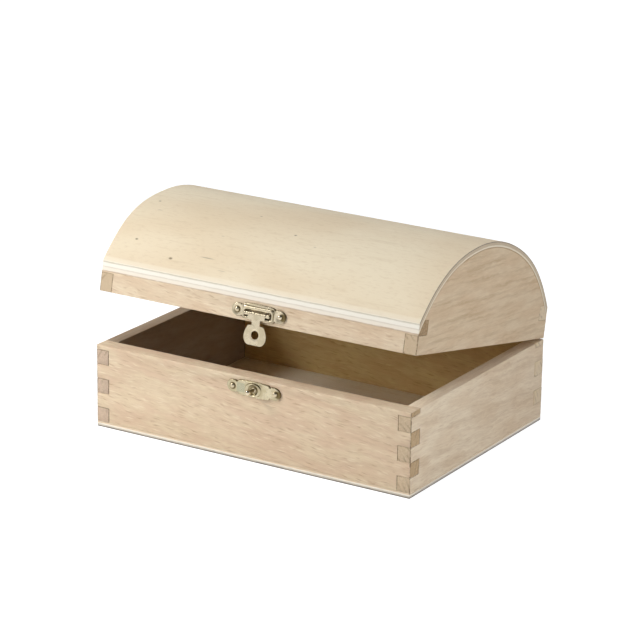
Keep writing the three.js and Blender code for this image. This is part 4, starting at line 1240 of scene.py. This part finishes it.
def make_camera():
    camera = bpy.data.cameras.new("camera")
    camera.sensor_width = SENSOR_WIDTH
    camera.lens = FOCAL_PIXELS / PICTURE_SIZE * SENSOR_WIDTH
    camera.shift_x = -CENTRE_SHIFT
    camera.shift_y = CENTRE_SHIFT
    made = add_object("camera", camera)
    turn = Matrix.Rotation(-CAMERA_YAW, 4, "Z") @ Matrix.Rotation(math.pi / 2 + CAMERA_PITCH, 4, "X")
    made.matrix_world = Matrix.Translation(CAMERA_PLACE) @ turn @ Matrix.Rotation(CAMERA_ROLL, 4, "Z")
    bpy.context.scene.camera = made


# Assembly. Each board's wood starts at its own place in the grain.
PALE_END = colour(230, 210, 180)
SIDE_COLOURS = {
    "Pale": colour(250, 234, 208),
    "Warm": colour(241, 221, 193),
    "End": colour(208, 186, 156),
    "Fleck Strength": 0.35,
    "Bands": 0.22,
}
LID_END_COLOURS = {
    **SIDE_COLOURS,
    "Pale": colour(229, 208, 178),
    "Warm": colour(223, 198, 166),
    "Fleck": colour(176, 142, 100),
    "Fleck Strength": 0.2,
    "Streaks": 0.5,
    "Bands": 0.34,
    "Band Scale": 1.8,
    "Wave": 1.6,
    "Grain Dip": -0.112,
}
RAIL_COLOURS = {"Pale": colour(238, 219, 191), "Warm": colour(232, 208, 179), "End": colour(166, 138, 102)}
# name, CAD node, material slot, direction of the grain, and what sets its wood apart
BOARDS = (
    ("front_board", "base_front_board", "front_beech", "x", {}),
    # The back board's inner face is tinted warmer: painted bounce light
    ("back_board", "base_back_board", "front_beech", "x",
     {"seed": (40, 17, 3), "inside": BACK_PAINTED_BOUNCE, "End": PALE_END}),
    # The left board's inner and top faces are tinted darker: painted shade
    ("left_board", "base_left_board", "side_beech", "y",
     {"seed": (90, 31, 8), "inside": LEFT_PAINTED_SHADE, **SIDE_COLOURS, "End": colour(208, 184, 162)}),
    # The right board darkens towards its back: painted shade
    ("right_board", "base_right_board", "side_beech", "y", {"seed": (0, 53, 5), **SIDE_COLOURS, "Tail": 0.2}),
)
RAILS = (
    ("front_rail", "lid_front_rail", {"seed": (11, 71, 2), **RAIL_COLOURS}),
    ("back_rail", "lid_back_rail", {"seed": (52, 18, 6), **RAIL_COLOURS, "End": PALE_END}),
)

beech, veneer, plating = make_beech_group(), make_veneer_group(), make_plating_group()
joint_lines = make_joint_group()
pale_brass = make_plating("pale_brass_plating", plating)
side_size, front_size = (np.ptp(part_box(node), axis=0) for node in ("base_left_board", "base_front_board"))
inner_sizes = {"Inner Width": HALF_WIDTH - side_size[0], "Inner Depth": HALF_DEPTH - front_size[1]}
base_start, lid_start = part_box("base_front_board")[0][2], end_low[2]
lid_finger = PLY_LOWER_EDGE - FINGER_BELOW_PLY - lid_start
base_joints = (joint_lines, {**inner_sizes, "First Finger": base_start, "Finger": FINGER_PITCH})
lid_sizes = {"First Finger": lid_start, "Finger": lid_finger, "Top": lid_start + LID_LINES * lid_finger}
lid_joints = (joint_lines, {**inner_sizes, **lid_sizes})
for name, node, slot, along, looks in BOARDS:
    wood = make_beech(name + "_beech", beech, along, base_joints, **looks)
    make_eased_copy(name, node, wood, "base", slot, BOARD_EASE)
panel = make_panel_ply("bottom_panel_ply", veneer)
make_eased_copy("bottom_board", "base_bottom_panel", panel, "base", "panel", BOARD_EASE)
make_dome(make_plywood("dome_plywood", veneer))
make_lid_ends(make_beech("lid_end_beech", beech, "y", lid_joints, LID_OPEN, (61, 12, 0), **LID_END_COLOURS))
for name, node, looks in RAILS:
    wood = make_beech(name + "_beech", beech, "x", lid_joints, LID_OPEN, **looks)
    make_eased_copy(name, node, wood, "lid", "front_beech", BOARD_EASE)
make_clasp(plating, pale_brass)
make_hinges(pale_brass)
make_floor()
make_world()
make_lamps()
make_camera()

scene = bpy.context.scene
scene.view_settings.view_transform = "Standard"
